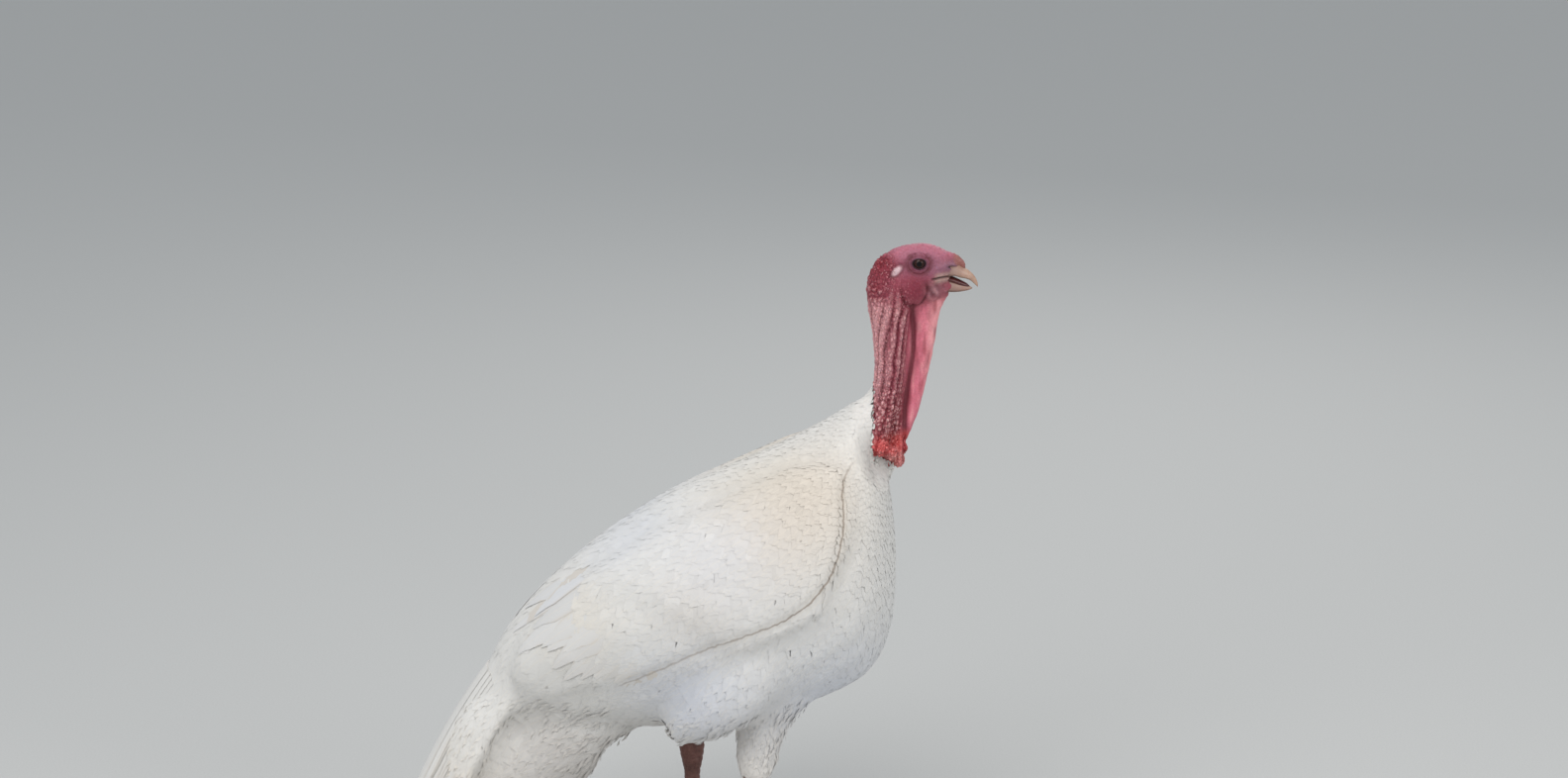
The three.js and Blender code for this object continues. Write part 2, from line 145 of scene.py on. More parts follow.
def smoothstep(low, high, x):
    t = np.clip((np.asarray(x, float) - low) / (high - low), 0, 1)
    return t * t * (3 - 2 * t)


def unit(v):
    return v / np.maximum(np.linalg.norm(v, axis=-1, keepdims=True), 1e-12)


def spline(rows, t):
    """Smooth curve through the rows of a table (uniform Catmull-Rom), t from 0 to 1."""
    rows = np.asarray(rows, float)
    x = np.asarray(t) * (len(rows) - 1)
    i = np.clip(np.floor(x).astype(int), 0, len(rows) - 2)
    f = (x - i)[:, None]
    before, after = np.maximum(i - 1, 0), np.minimum(i + 2, len(rows) - 1)
    a, b, c, d = rows[before], rows[i], rows[i + 1], rows[after]
    a = np.where((i == 0)[:, None], 2 * b - c, a)
    d = np.where((i == len(rows) - 2)[:, None], 2 * c - b, d)
    return 0.5 * (2 * b + (c - a) * f + (2 * a - 5 * b + 4 * c - d) * f**2 + (3 * b - a - 3 * c + d) * f**3)


# Places on the bird are told in millimetres from the floor under the middle of the thighs, or
# from FACE, a point between the eyes.
eye_low, eye_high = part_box("eye_right")
FACE = np.array([(eye_low.x + eye_high.x) / 2 + 1 * MM, 0, (eye_low.z + eye_high.z) / 2 - 4 * MM])
BODY_START = FACE - np.array([199.5, 0, 714]) * MM

# Side view of the folded wing's front and lower edge, where breast and flank feathers close over
# it, and of its upper edge along the back.
WING_FRONT = [(137, 520), (119, 500), (117, 448), (101, 402), (62, 366), (-20, 331), (-90, 293), (-126, 274)]
WING_TOP = [(110, 479), (14, 473), (-36, 467), (-78, 444), (-131, 408), (-170, 375), (-210, 337)]


def tube(rings):
    """Points and faces of a closed tube through rings given as an array (ring, place, xyz)."""
    count, around = rings.shape[:2]
    points = np.concatenate([rings.reshape(-1, 3), rings[0].mean(0)[None], rings[-1].mean(0)[None]])
    i, j = np.meshgrid(np.arange(count - 1), np.arange(around), indexing="ij")
    k = (j + 1) % around
    quads = np.stack([i * around + j, i * around + k, (i + 1) * around + k, (i + 1) * around + j], -1)
    faces = [tuple(q) for q in quads.reshape(-1, 4)]
    last, first_pole = (count - 1) * around, count * around
    for a in range(around):
        b = (a + 1) % around
        faces += [(b, a, first_pole), (last + a, last + b, first_pole + 1)]
    return points, faces


def ellipsoid(centre, radii, tilt=0.0, detail=20, start=None):
    """Centre and radii in millimetres from FACE, or from start; tilt turns it in side view."""
    turn = np.arange(detail * 2) / (detail * 2) * 2 * math.pi
    rise = (np.arange(1, detail) / detail - 0.5) * math.pi
    ring = np.stack([np.cos(rise)[:, None] * np.cos(turn), np.cos(rise)[:, None] * np.sin(turn),
                     np.repeat(np.sin(rise)[:, None], len(turn), 1)], -1) * radii
    c, s = math.cos(tilt), math.sin(tilt)
    ring = np.stack([ring[..., 0] * c - ring[..., 2] * s, ring[..., 1],
                     ring[..., 0] * s + ring[..., 2] * c], -1)
    points, faces = tube(ring + np.asarray(centre, float))
    return points * MM + (FACE if start is None else start), faces


def pillow(centre, radii, tilt=0.0):
    return ellipsoid(centre, radii, tilt, start=BODY_START)


def off_line(p, rows):
    """Distance in side view from points to a curve through rows, how far along it each lies, and
    the distance square to the curve, above zero behind it."""
    steps = np.linspace(0, 1, 100)
    curve = spline(rows, steps)
    ahead = unit(np.gradient(curve, axis=0))
    away, near = np.full(len(p), 1e9), np.zeros(len(p), int)
    for k, (cx, cz) in enumerate(curve):
        closer = np.hypot(p[:, 0] - cx, p[:, 2] - cz)
        near = np.where(closer < away, k, near)
        away = np.minimum(away, closer)
    rel = p[:, [0, 2]] - curve[near]
    return away, steps[near], rel[:, 1] * ahead[near, 0] - rel[:, 0] * ahead[near, 1]


def inside(outline, flat):
    """Which flat points a closed outline holds."""
    held = np.zeros(len(flat), bool)
    for (ax, az), (bx, bz) in zip(outline, np.roll(outline, -1, axis=0)):
        crosses = (az > flat[:, 1]) != (bz > flat[:, 1])
        held ^= crosses & (flat[:, 0] < (bx - ax) * (flat[:, 1] - az) / (bz - az + 1e-9) + ax)
    return held


FLANK_HEM, VENT_CORNER = (190, 250, 208), ((-168, -152, -138, -60), (0, 160, 188, 202))


def fleshed_shape(name):
    """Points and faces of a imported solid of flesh. The flank's hem is lifted, its lowest point
    from the first height to the last, and the vent's lower front corner is cut off."""
    points, faces = node_shape(name)
    p = (points - BODY_START) / MM
    if name.startswith("flank"):
        hem, top, lifted_hem = FLANK_HEM
        lifted = lifted_hem + (p[:, 2] - hem) * (top - lifted_hem) / (top - hem)
        p[:, 2] = np.where(p[:, 2] < top, lifted, p[:, 2])
    if name == "vent":
        p[:, 2] = np.maximum(p[:, 2], np.interp(p[:, 0], *VENT_CORNER))
    return p * MM + BODY_START, faces


FORM_VOXEL = 4.2 * MM
CLOSING = 7
flesh_shapes = [fleshed_shape(name) for name in FLESHED]
# full down under the tail, at the vent and on the belly
down_pillows = [pillow((-282, 0, 178), (34, 60, 92), -0.42), pillow((-318, 0, 118), (26, 50, 58), -0.30),
                pillow((-84, 0, 226), (50, 62, 24))]
body_form = clay("body_form", [*flesh_shapes, node_shape("tail"), node_shape("neck"), *down_pillows],
                 FORM_VOXEL, 5)
for swell in (CLOSING, -CLOSING):  # closes slots and hollows between neighbours
    set_points(body_form, points_of(body_form) + normals_of(body_form) * swell * MM)
    applied(body_form, ("REMESH", {"mode": "VOXEL", "voxel_size": FORM_VOXEL, "use_smooth_shade": True}))
applied(body_form, ("SMOOTH", {"factor": 0.5, "iterations": 4}))


def lateral(place):
    """0 along the middle of back and breast, 1 on the bird's sides."""
    return smoothstep(22, 44, np.abs(place[:, 1]))


def evened(made, on_side):
    """Makes the wing one even bulge, without ridges where its solids meet, and softens the lower
    edges of flank and vent."""
    place = (points_of(made) - BODY_START) / MM
    x, _, z = place.T
    below_top = smoothstep(34, 18, off_line(place, WING_TOP)[0])
    wing = np.maximum(inside(WING_OUTLINE, place[:, [0, 2]]), below_top)
    flank_edge = smoothstep(-150, -110, x) * smoothstep(90, 60, x)
    flank_edge *= smoothstep(212, 228, z) * smoothstep(350, 320, z)
    vent_edge = smoothstep(-185, -225, x) * smoothstep(270, 240, z)
    even = np.maximum(np.maximum(wing, 0.7 * flank_edge) * on_side, 0.9 * vent_edge)
    group = made.vertex_groups.new(name="even")
    for level in range(1, 9):
        group.add(np.flatnonzero(np.round(even * 8) == level).tolist(), level / 8, "REPLACE")
    applied(made, ("SMOOTH", {"factor": 0.5, "iterations": 60, "vertex_group": "even"}))


def grooved(made, on_side):
    """Presses in a step where breast and flank lie over the wing's front edge, and a faint line
    where the wing meets the back."""
    shape = points_of(made)
    place = (shape - BODY_START) / MM
    away, along, behind = off_line(place, WING_FRONT)
    held = smoothstep(0.0, 0.25, along) * smoothstep(1.0, 0.9, along)
    groove = np.exp(-((away / np.where(behind > 0, 11.0, 4.5)) ** 2)) * held
    groove *= 2.6 - 1.0 * smoothstep(0.55, 0.9, along)
    away, along, _ = off_line(place, WING_TOP)
    groove += 0.5 * np.exp(-((away / 8) ** 2)) * smoothstep(0.1, 0.3, along) * smoothstep(1.0, 0.8, along)
    set_points(made, shape - normals_of(made) * (groove * on_side)[:, None] * MM)


WING_OUTLINE = np.concatenate([spline(WING_FRONT, np.linspace(0, 1, 40)),
                               spline(WING_TOP, np.linspace(1, 0, 30))])
form_on_side = lateral((points_of(body_form) - BODY_START) / MM)
evened(body_form, form_on_side)
grooved(body_form, form_on_side)


class Surface:
    """Nearest points, and smooth normals there, on a mesh."""

    def __init__(self, made):
        self.points, self.normals = points_of(made), normals_of(made)
        self.triangles = triangles_of(made)
        self.tree = BVHTree.FromPolygons(self.points.tolist(), self.triangles.tolist())

    def nearest(self, points):
        flat = np.asarray(points).reshape(-1, 3)
        hits = [self.tree.find_nearest(Vector(p)) for p in flat]
        at = np.array([h[0] for h in hits])
        tri = self.triangles[[h[2] for h in hits]]
        a, b, c = (self.points[tri[:, k]] for k in range(3))
        whole = np.linalg.norm(np.cross(b - a, c - a), axis=1)
        share = np.stack([np.linalg.norm(np.cross(q - at, r - at), axis=1) for q, r in
                          ((b, c), (c, a), (a, b))], 1) / whole[:, None]
        normal = unit(sum(self.normals[tri[:, k]] * share[:, k, None] for k in range(3)))
        return at.reshape(points.shape), normal.reshape(points.shape)


# ---- Skin ------------------------------------------------------------------------------------
# One unbroken skin over head, neck, body and legs. On the body it is thin and pale, about a
# centimetre under the feathers' outline. On the head and neck it is bare, thick and folded.

EYE_RADIUS = (eye_high.x - eye_low.x) / 2 / MM
EYE_CENTRE = -1.0, abs(eye_low.y + eye_high.y) / 2 / MM, 4.0
COAT_DEPTH = 9 * MM

# Side view of neck and head in millimetres from FACE, a point between the eyes, base of the
# neck first. Each row has the hind or upper edge, the front or lower edge, the half width, and
# how much of that depth the neck's round column takes, before the thin fold of loose skin.
NECK_AND_HEAD = [
    (-84, -222, -44, -262, 27, 0.66),
    (-64, -182, -20, -212, 28, 0.64),
    (-50.5, -152, -1.5, -168, 25.5, 0.60),
    (-46.5, -114, 9.5, -122, 23.5, 0.57),
    (-48.5, -76, 17.5, -82, 23, 0.57),
    (-54.5, -46, 21.5, -54, 24.5, 0.66),
    (-55.5, -26, 25.5, -44, 25.5, 0.85),
    (-51.5, -8, 28.5, -39, 25.5, 0.96),
    (-41.5, 5.5, 30.5, -36, 24.3, 1),
    (-27, 15.3, 31.5, -33, 22.6, 1),
    (-10.5, 20.3, 31.5, -30, 20.6, 1),
    (6.5, 21.3, 31.5, -26, 18, 1),
    (21, 17.2, 32.5, -19, 14.6, 1),
    (33, 9.8, 35, -11, 9, 1),
]


def neck_and_head(along=220, around=88):
    row = spline(NECK_AND_HEAD, np.linspace(0, 1, along))
    turn = np.arange(around) / around * 2 * math.pi
    t = (1 - np.cos(turn)) / 2
    side = np.sign(np.sin(turn))
    rings = np.empty((along, around, 3))
    for ring, (x0, z0, x1, z1, half, column) in zip(rings, row):
        round_part = half * np.sqrt(np.clip(1 - (2 * t / max(column, 1e-3) - 1) ** 2, 0, 1))
        throat = 1 - 0.38 * smoothstep(0.45, 1.0, t) * min(1, max(0, (column - 0.7) / 0.3))
        fold = 7.6 * np.clip(1 - np.abs((t - 0.72) / 0.28) ** 3, 0, 1) ** 0.5 * (column < 0.999)
        width = np.maximum(round_part * throat, fold)
        ring[:, 0] = FACE[0] + (x0 + (x1 - x0) * t) * MM
        ring[:, 1] = side * width * MM
        ring[:, 2] = FACE[2] + (z0 + (z1 - z0) * t) * MM
    return tube(rings)


def sweep(path, radii, around=24):
    """Closed tube along a path of points, with a radius for each."""
    path, radii = np.asarray(path, float), np.asarray(radii, float)
    ahead = unit(np.gradient(path, axis=0))
    across = unit(np.cross(ahead, (0.0, 0.0, 1.0)) + 1e-9 * np.array((0, 1, 0)))
    steep = np.abs(ahead[:, 2]) > 0.9
    across[steep] = unit(np.array((0, 1.0, 0)) - ahead[steep] * ahead[steep][:, 1:2])
    up = np.cross(across, ahead)
    turn = np.arange(around) / around * 2 * math.pi
    return tube(path[:, None] + radii[:, None, None] * (
        across[:, None] * np.sin(turn)[:, None] + up[:, None] * np.cos(turn)[:, None]))


SNOOD = [(22, 9, 4.8), (29, 8.2, 5.2), (36, 5.6, 5.0), (42, 1.8, 4.4), (45.6, -2.6, 3.4), (46.8, -6, 2.0)]


def snood():
    row = spline(SNOOD, np.linspace(0, 1, 40))
    path = np.stack([row[:, 0], 0 * row[:, 0], row[:, 1]], 1) * MM + FACE
    return sweep(path, row[:, 2] * MM)


lobes = []
for side in (-1, 1):
    lobes += [
        ellipsoid((-41, side * 25, -197), (11.5, 7.5, 8.8), -0.15),
        ellipsoid((-48, side * 24, -191), (7, 6, 6)),
        ellipsoid((-30, side * 21, -203), (8, 6.5, 7.5)),
        ellipsoid((-22, side * 14, -212), (6.5, 6, 9.5), 0.4),
        ellipsoid((-24, side * 7, -205), (9, 7, 9)),
    ]
lobes += [ellipsoid((-20.5, 0, -214), (6.5, 7, 9.5), 0.3), ellipsoid((-16.5, -3, -203), (6, 6.5, 7))]
cere = [ellipsoid((27, side * 3.2, 0.5), (14, 6.6, 7.4), -0.28) for side in (-1, 1)]
jaw = [ellipsoid((21, side * 4.5, -25.5), (15, 5.5, 7.5), 0.12) for side in (-1, 1)]

bare = clay("bare", [neck_and_head(), snood(), *lobes, *cere, *jaw], 1.2 * MM, 4)


def noise_at(points, scale, seed=0.0):
    """Smooth noise, about -1 to 1, at points in millimetres."""
    offset = Vector((seed, 1.7 * seed, -seed))
    return np.array([noise.noise(Vector(p) / scale + offset) for p in points])


def bumps_at(points, scale, seed=0.0):
    """Rounded nodules: 1 on each one's top, 0 in the creases between them."""
    offset = Vector((seed, 1.7 * seed, -seed))
    near = np.array([noise.voronoi(Vector(p) / scale + offset)[0][:2] for p in points])
    return np.clip((near[:, 1] - near[:, 0]) * 1.6, 0, 1) ** 0.7


def spot(x, z, cx, cz, rx, rz, tilt=0.0):
    """1 in the middle of an oval in side view, falling smoothly to 0 well outside it."""
    c, s = math.cos(tilt), math.sin(tilt)
    u, v = (x - cx) * c + (z - cz) * s, -(x - cx) * s + (z - cz) * c
    return np.exp(-((u / rx) ** 2 + (v / rz) ** 2))


def finer_near_eyes(made):
    bm = bmesh.new()
    bm.from_mesh(made.data)
    edges = set()
    for face in bm.faces:
        x, y, z = (np.array(face.calc_center_median()) - FACE) / MM
        if abs(y) > 9 and math.hypot(x - EYE_CENTRE[0], z - EYE_CENTRE[2]) < 11:
            edges.update(face.edges)
    bmesh.ops.subdivide_edges(bm, edges=list(edges), cuts=1, use_grid_fill=True)
    bmesh.ops.triangulate(bm, faces=[f for f in bm.faces if len(f.verts) > 4])
    bm.to_mesh(made.data)
    bm.free()


finer_near_eyes(bare)


def outward(made):
    """Merges doubles and turns all faces outward."""
    bm = bmesh.new()
    bm.from_mesh(made.data)
    bmesh.ops.remove_doubles(bm, verts=bm.verts, dist=0.002 * MM)
    bmesh.ops.recalc_face_normals(bm, faces=bm.faces)
    bm.to_mesh(made.data)
    bm.free()
    return made


bare_neck = outward(joined("bare_neck", [neck_and_head()]))
neck_skin = Surface(bare_neck)
bpy.data.objects.remove(bare_neck)

# Side view of the line where the plumage ends against the bare neck, from the nape down,
# in millimetres on the body.
COLLAR = [(148, 596), (149, 560), (150, 528), (166, 499), (186, 494)]


def drawn_in(made, reach, level):
    """Draws the body in to the neck's skin round the collar: fully at the line where the plumage
    ends, not at all beyond reach; level is the height over the skin, all in millimetres."""
    shape = points_of(made)
    place = (shape - BODY_START) / MM
    off = off_line(place, COLLAR)[0]
    nape = smoothstep(13, 4, np.abs(place[:, 1])) * smoothstep(525, 545, place[:, 2])
    pull = smoothstep(reach, reach * 0.2, off) * (1 - 0.75 * nape)
    close = (off < reach) & (place[:, 2] > 455) & (place[:, 0] > 95)
    at, normal = neck_skin.nearest(shape[close])
    shape[close] += (at + normal * level * MM - shape[close]) * pull[close, None]
    set_points(made, shape)


drawn_in(body_form, 20, 0.9)
form = Surface(body_form)
bpy.data.objects.remove(body_form)
core = joined("core", flesh_shapes)
applied(core, ("REMESH", {"mode": "VOXEL", "voxel_size": 5 * MM}),
        ("SMOOTH", {"factor": 0.5, "iterations": 4}))
set_points(core, points_of(core) - normals_of(core) * COAT_DEPTH)
drawn_in(core, 46, -5)
applied(core, ("REMESH", {"mode": "VOXEL", "voxel_size": 6 * MM}))
leg_shapes = [node_shape(f"{part}_{side}") for side in SIDES for part in ("shank", "foot")]
legs = clay("legs", leg_shapes, 1.3 * MM, 3)

skin = bare
skin.name = "skin"
for other in (core, legs):
    applied(skin, ("BOOLEAN", {"operation": "UNION", "solver": "MANIFOLD", "object": other}))
    bpy.data.objects.remove(other)

# Soles, toes and shanks: each toe runs from the middle of its foot to its claw.
SHANK_TOP = 168
TOES = ("inner", "middle", "outer", "hind")
toes = [(side, toe, sum(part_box(f"claw_{side}_{toe}"), Vector()) / 2) for side in SIDES for toe in TOES]


def foot_middle(side):
    """Where the lines of the middle and hind toes' claws cross the shank's foot."""
    ahead, behind = (claw for s, toe, claw in toes if s == side and toe in ("middle", "hind"))
    return ahead.lerp(behind, 0.72)


def ear_oval(x, z):
    """1 on the edge of the white ear patch, a narrow oval that leans forward."""
    along, across = 0.72 * (x + 25) + 0.69 * (z + 4), 0.72 * (z + 4) - 0.69 * (x + 25)
    return np.hypot(along / 6.4, across / 3.1)


def sculpt_face(p):
    """How far in millimetres the bare skin of head and neck is raised at each point."""
    x, y, z = p.T
    wide = np.abs(y)
    column = x + 46 - 0.06 * (z + 120)
    on_neck = 1 - smoothstep(-52, -34, z)
    hind = 1 - smoothstep(26, 34, column)
    turn = np.arctan2(wide, column - 20)
    drift = noise_at(p * (1, 1, 0.35), 16, 3) * 1.1 + noise_at(p * (1, 1, 0.5), 7, 8) * 0.5
    rope = np.abs(np.sin(turn * 7.4 + z * 0.028 + drift)) ** 0.7
    beads = bumps_at(p * (1, 1, 0.75), 4.0, 2)
    low_neck = 1 - smoothstep(-150, -112, z)
    raised = on_neck * hind * ((1 - 0.45 * low_neck) * (rope - 0.6) * 2.6
                               + (0.55 + 0.9 * low_neck) * (beads - 0.5) * 1.7)
    groove = np.exp(-(((column - 36 - 2.0 * np.sin(z * 0.05)) / 2.6) ** 2))
    raised -= 2.4 * groove * (1 - smoothstep(-44, -36, z)) * (wide > 3)
    fold = on_neck * smoothstep(32, 42, column)
    raised += fold * (0.8 * noise_at(p * (1, 1, 0.25), 7, 5) + 0.55 * noise_at(p * (1, 1, 0.35), 3.4, 1))
    # nodules over the nape, fine wrinkles over crown and face
    nape = np.clip(spot(x, z, -40, 5, 16, 15) + 0.8 * spot(x, z, -50, -28, 12, 24), 0, 1)
    raised += nape * (bumps_at(p, 5.4, 6) - 0.4) * 3.0
    raised += smoothstep(4, 12, z) * (1 - nape) * (bumps_at(p, 4.0, 9) - 0.5) * 0.8
    on_head = smoothstep(-46, -36, z)
    raised += on_head * (0.35 * noise_at(p, 5, 4) + 0.3 * noise_at(p, 2.6, 12))
    # eye: a shallow socket, a brow over it, and fine rings of skin round the lids
    beside = smoothstep(8, 12, wide)
    ex, ez = x - EYE_CENTRE[0], z - EYE_CENTRE[2]
    r = np.hypot(ex / 1.12, ez)
    ring = np.exp(-(((r - 10.5) / 3.3) ** 2))
    brow = spot(ex, ez, 1, 11.5, 12, 2.6, -0.1)
    raised += beside * (-1.5 * ring + 1.5 * brow + 0.3 * ring * np.cos(r * 2.7))
    # ear patch, cheek, and the folds behind and under them
    ear = ear_oval(x, z)
    raised += beside * (0.8 * np.exp(-((ear / 0.9) ** 4)) - 1.0 * np.exp(-(((ear - 1.4) / 0.35) ** 2)))
    cheek = np.hypot((x + 6) / 12.5, (z + 24) / 17.5)
    crease = np.exp(-(((cheek - 1.12) / 0.13) ** 2)) * (1 - smoothstep(-26, -12, z))
    raised += beside * (1.1 * np.exp(-((cheek / 0.85) ** 4)) - 1.7 * crease)
    raised += beside * spot(x, z, -24, -34, 9, 18) * (rope - 0.5) * 1.6
    # mouth line, its lips, and the wrinkled corner of the jaw
    mouth_z = -12.4 - 0.9 * smoothstep(24, 14, x)
    mouth = np.exp(-(((z - mouth_z) / 1.3) ** 2)) * smoothstep(10, 15, x) * (wide > 2)
    lips = np.exp(-(((z - mouth_z) / 4.2) ** 2)) * smoothstep(7, 14, x) * (1 - smoothstep(28, 36, x))
    raised += 1.3 * lips - 3.4 * mouth
    raised += beside * 0.9 * np.sin((x - 14) * 0.55 + (z + 27) * 0.35) * spot(x, z, 12, -26, 9, 10)
    # nostril: a slit under a small flap
    flap, slit = spot(x, z, 34.5, 0.4, 5.5, 1.8, -0.25), spot(x, z, 34.5, -2.6, 3.6, 1.1, -0.25)
    raised += (wide > 4) * (1.1 * flap - 3.4 * slit)
    # rings round the snood, grain on the lobes at the foot of the neck
    raised += smoothstep(31, 35, x) * smoothstep(0, 3, z + 0.6 * (x - 34)) * 0.35 * np.sin(x * 2.2 - z * 1.6)
    lobes_here = 1 - smoothstep(-190, -182, z)
    return raised + lobes_here * (0.5 * noise_at(p, 6, 7) + 0.5 * (bumps_at(p, 4.5, 5) - 0.5))


def lids(p):
    """The skin turns up round the eyeball in a thick rim and dives under its edge."""
    x, y, z = p.T
    ex, ez = x - EYE_CENTRE[0], z - EYE_CENTRE[2]
    almond = np.hypot(ex / 6.7, (ez - 0.1) / 5.2)
    ball = EYE_CENTRE[1] + np.sqrt(np.clip(EYE_RADIUS**2 - ex**2 - ez**2, 4, None))
    rim, under = ball + 0.95, ball - 1.6
    lid = np.where(almond < 1, under + (rim - under) * smoothstep(0.86, 1.02, almond), rim)
    fade = smoothstep(1.12, 1.8, almond)
    level = lid * (1 - fade) + np.abs(y) * fade
    near_eye = (np.abs(y) > 9) & (almond < 1.9)
    return np.stack([x, np.where(near_eye, np.sign(y) * level, y), z], 1)


def sculpt_legs(points, normals):
    """Raised scutes in millimetres down the front of the shanks and along the toes, small
    rounded scales everywhere else."""
    raised = np.zeros(len(points))
    grain = (bumps_at(points / MM, 3.4, 1) - 0.5) * 0.7
    for side, sign in SIDES.items():
        mine = points[:, 1] * sign > 0
        height = points[:, 2] / MM
        middle = foot_middle(side)
        on_shank = mine & (height > 24)
        front = normals[:, 0] > 0.25
        plate = (height / 7.4 + 0.12 * np.sin(points[:, 1] / MM)) % 1
        scute = 1.15 * np.minimum(1, 5 * plate) * np.minimum(1, 9 * (1 - plate)) - 0.45
        raised = np.where(on_shank, np.where(front, scute, grain), raised)
        for name, toe, claw in toes:
            if name != side:
                continue
            ahead = np.array([claw.x - middle.x, claw.y - middle.y])
            reach = np.linalg.norm(ahead)
            ahead /= reach
            rel = points[:, :2] - np.array([middle.x, middle.y])
            along, off = rel @ ahead, np.abs(rel @ np.array([-ahead[1], ahead[0]]))
            here = mine & (height <= 24) & (off < 7 * MM) & (along > 9 * MM)
            plate = (along / MM / 4.3) % 1
            scute = 0.85 * np.minimum(1, 5 * plate) * np.minimum(1, 8 * (1 - plate)) - 0.35
            raised = np.where(here & (normals[:, 2] > 0.35), scute, np.where(here, grain, raised))
    return raised


skin_points, skin_normals = points_of(skin), normals_of(skin)
facial = (skin_points - FACE) / MM
is_bare = (facial[:, 2] > -228) & (facial[:, 0] > -72)
is_leg = skin_points[:, 2] < SHANK_TOP * MM
raised = np.zeros(len(skin_points))
raised[is_bare] = sculpt_face(facial[is_bare])
raised[is_leg] = sculpt_legs(skin_points[is_leg], skin_normals[is_leg])
on_floor = skin_points[:, 2] < 1.0 * MM
raised[on_floor] = 0
skin_points += skin_normals * raised[:, None] * MM
skin_points[is_bare] = lids((skin_points[is_bare] - FACE) / MM) * MM + FACE
skin_points[:, 2] = np.maximum(skin_points[:, 2], 0)
set_points(skin, skin_points)

# The skin's colour at each point, kept as an attribute: red and pink on the bare neck,
# violet on the face, white on the ear, orange red on the lobes, pale under the feathers and
# brownish on the legs, partly dirt and partly painted shade. Creases are painted darker red
# as shade, and ridges and small dots paler as painted highlight.


def linear(*rgb):
    """Colour as light, from the 0 to 255 values of a paint card."""
    c = np.array(rgb) / 255
    return np.where(c <= 0.04045, c / 12.92, ((c + 0.055) / 1.055) ** 2.4)


def blend(base, over, amount):
    amount = np.clip(np.asarray(amount, float), 0, 1)[..., None]
    return base * (1 - amount) + over * amount


STAINS_AND_PAINTED_LIGHT = [
    # x, y, z of the middle and radius in millimetres on the body, colour, strength
    (62, 105, 480, 68, linear(222, 202, 176), 0.75),
    (90, 95, 505, 46, linear(220, 206, 190), 0.6),
    # painted light: a cool bluish cast on the lower breast
    (130, 75, 275, 80, linear(224, 230, 244), 0.7),
    (-10, 133, 403, 48, linear(228, 214, 196), 0.4),
    (40, 70, 520, 70, linear(232, 222, 204), 0.5),
    (-150, 100, 380, 60, linear(228, 216, 196), 0.4),
    (-310, 40, 150, 80, linear(222, 208, 186), 0.5),
    (-124, 125, 277, 12, linear(170, 150, 128), 0.4),
    # painted light: a cool bluish cast high on the wing
    (15, 122, 450, 70, linear(230, 234, 243), 0.5),
    # painted shade: darker bluish grey low on the wing's side
    (-20, 118, 290, 60, linear(210, 215, 228), 0.7),
    (172, 15, 300, 11, linear(206, 150, 150), 0.6),
    # painted shade: greyer under the vent
    (-160, 40, 200, 60, linear(196, 188, 182), 0.6),
    # painted light: a cool bluish cast on the back
    (-100, 40, 465, 60, linear(226, 230, 240), 0.6),
    # painted shade: greyer on the belly's underside between the thighs
    (20, 40, 225, 70, linear(212, 204, 200), 0.5),
    # painted light: the thigh painted lighter against the shade that falls on it
    (20, 75, 175, 45, linear(248, 240, 232), 0.5),
    # painted shade: greyer under the tail
    (-230, 30, 130, 70, linear(222, 216, 212), 0.4),
]


def plumage_tint(points):
    """White of the feathers, with its faint cream stains, bluish areas of painted cool light, greyer areas of
    painted shade low under the body, and tail and thighs painted lighter against their shade.
    """
    p = (points - BODY_START) / MM
    p[:, 1] = np.abs(p[:, 1])
    tint = np.tile(linear(238, 236, 232), (len(p), 1))
    for x, y, z, radius, colour, strength in STAINS_AND_PAINTED_LIGHT:
        away = np.linalg.norm((p - (x, y, z)) / radius, axis=1)
        tint = blend(tint, colour, strength * np.exp(-(away**2)))
    # painted light: the tail and the thighs, low on the body, are painted lighter against the shade that
    # falls on them
    brighter = smoothstep(-220, -300, p[:, 0]) + smoothstep(215, 185, p[:, 2]) * (p[:, 0] > -80)
    return tint * (0.77 + 0.11 * brighter[:, None])


def crease_shadow_at(points):
    """Millimetres behind the line where the wing's front edge tucks under the breast, and how
    strongly the painted shadow line along it shows there."""
    p = (points - BODY_START) / MM
    away, along, behind = off_line(p, WING_FRONT)
    held = smoothstep(0.0, 0.2, along) * smoothstep(1.0, 0.94, along)
    held *= 1 - 0.45 * smoothstep(0.5, 0.8, along)
    return np.clip(behind, -20, 20), held * lateral(p) * (away < 24)


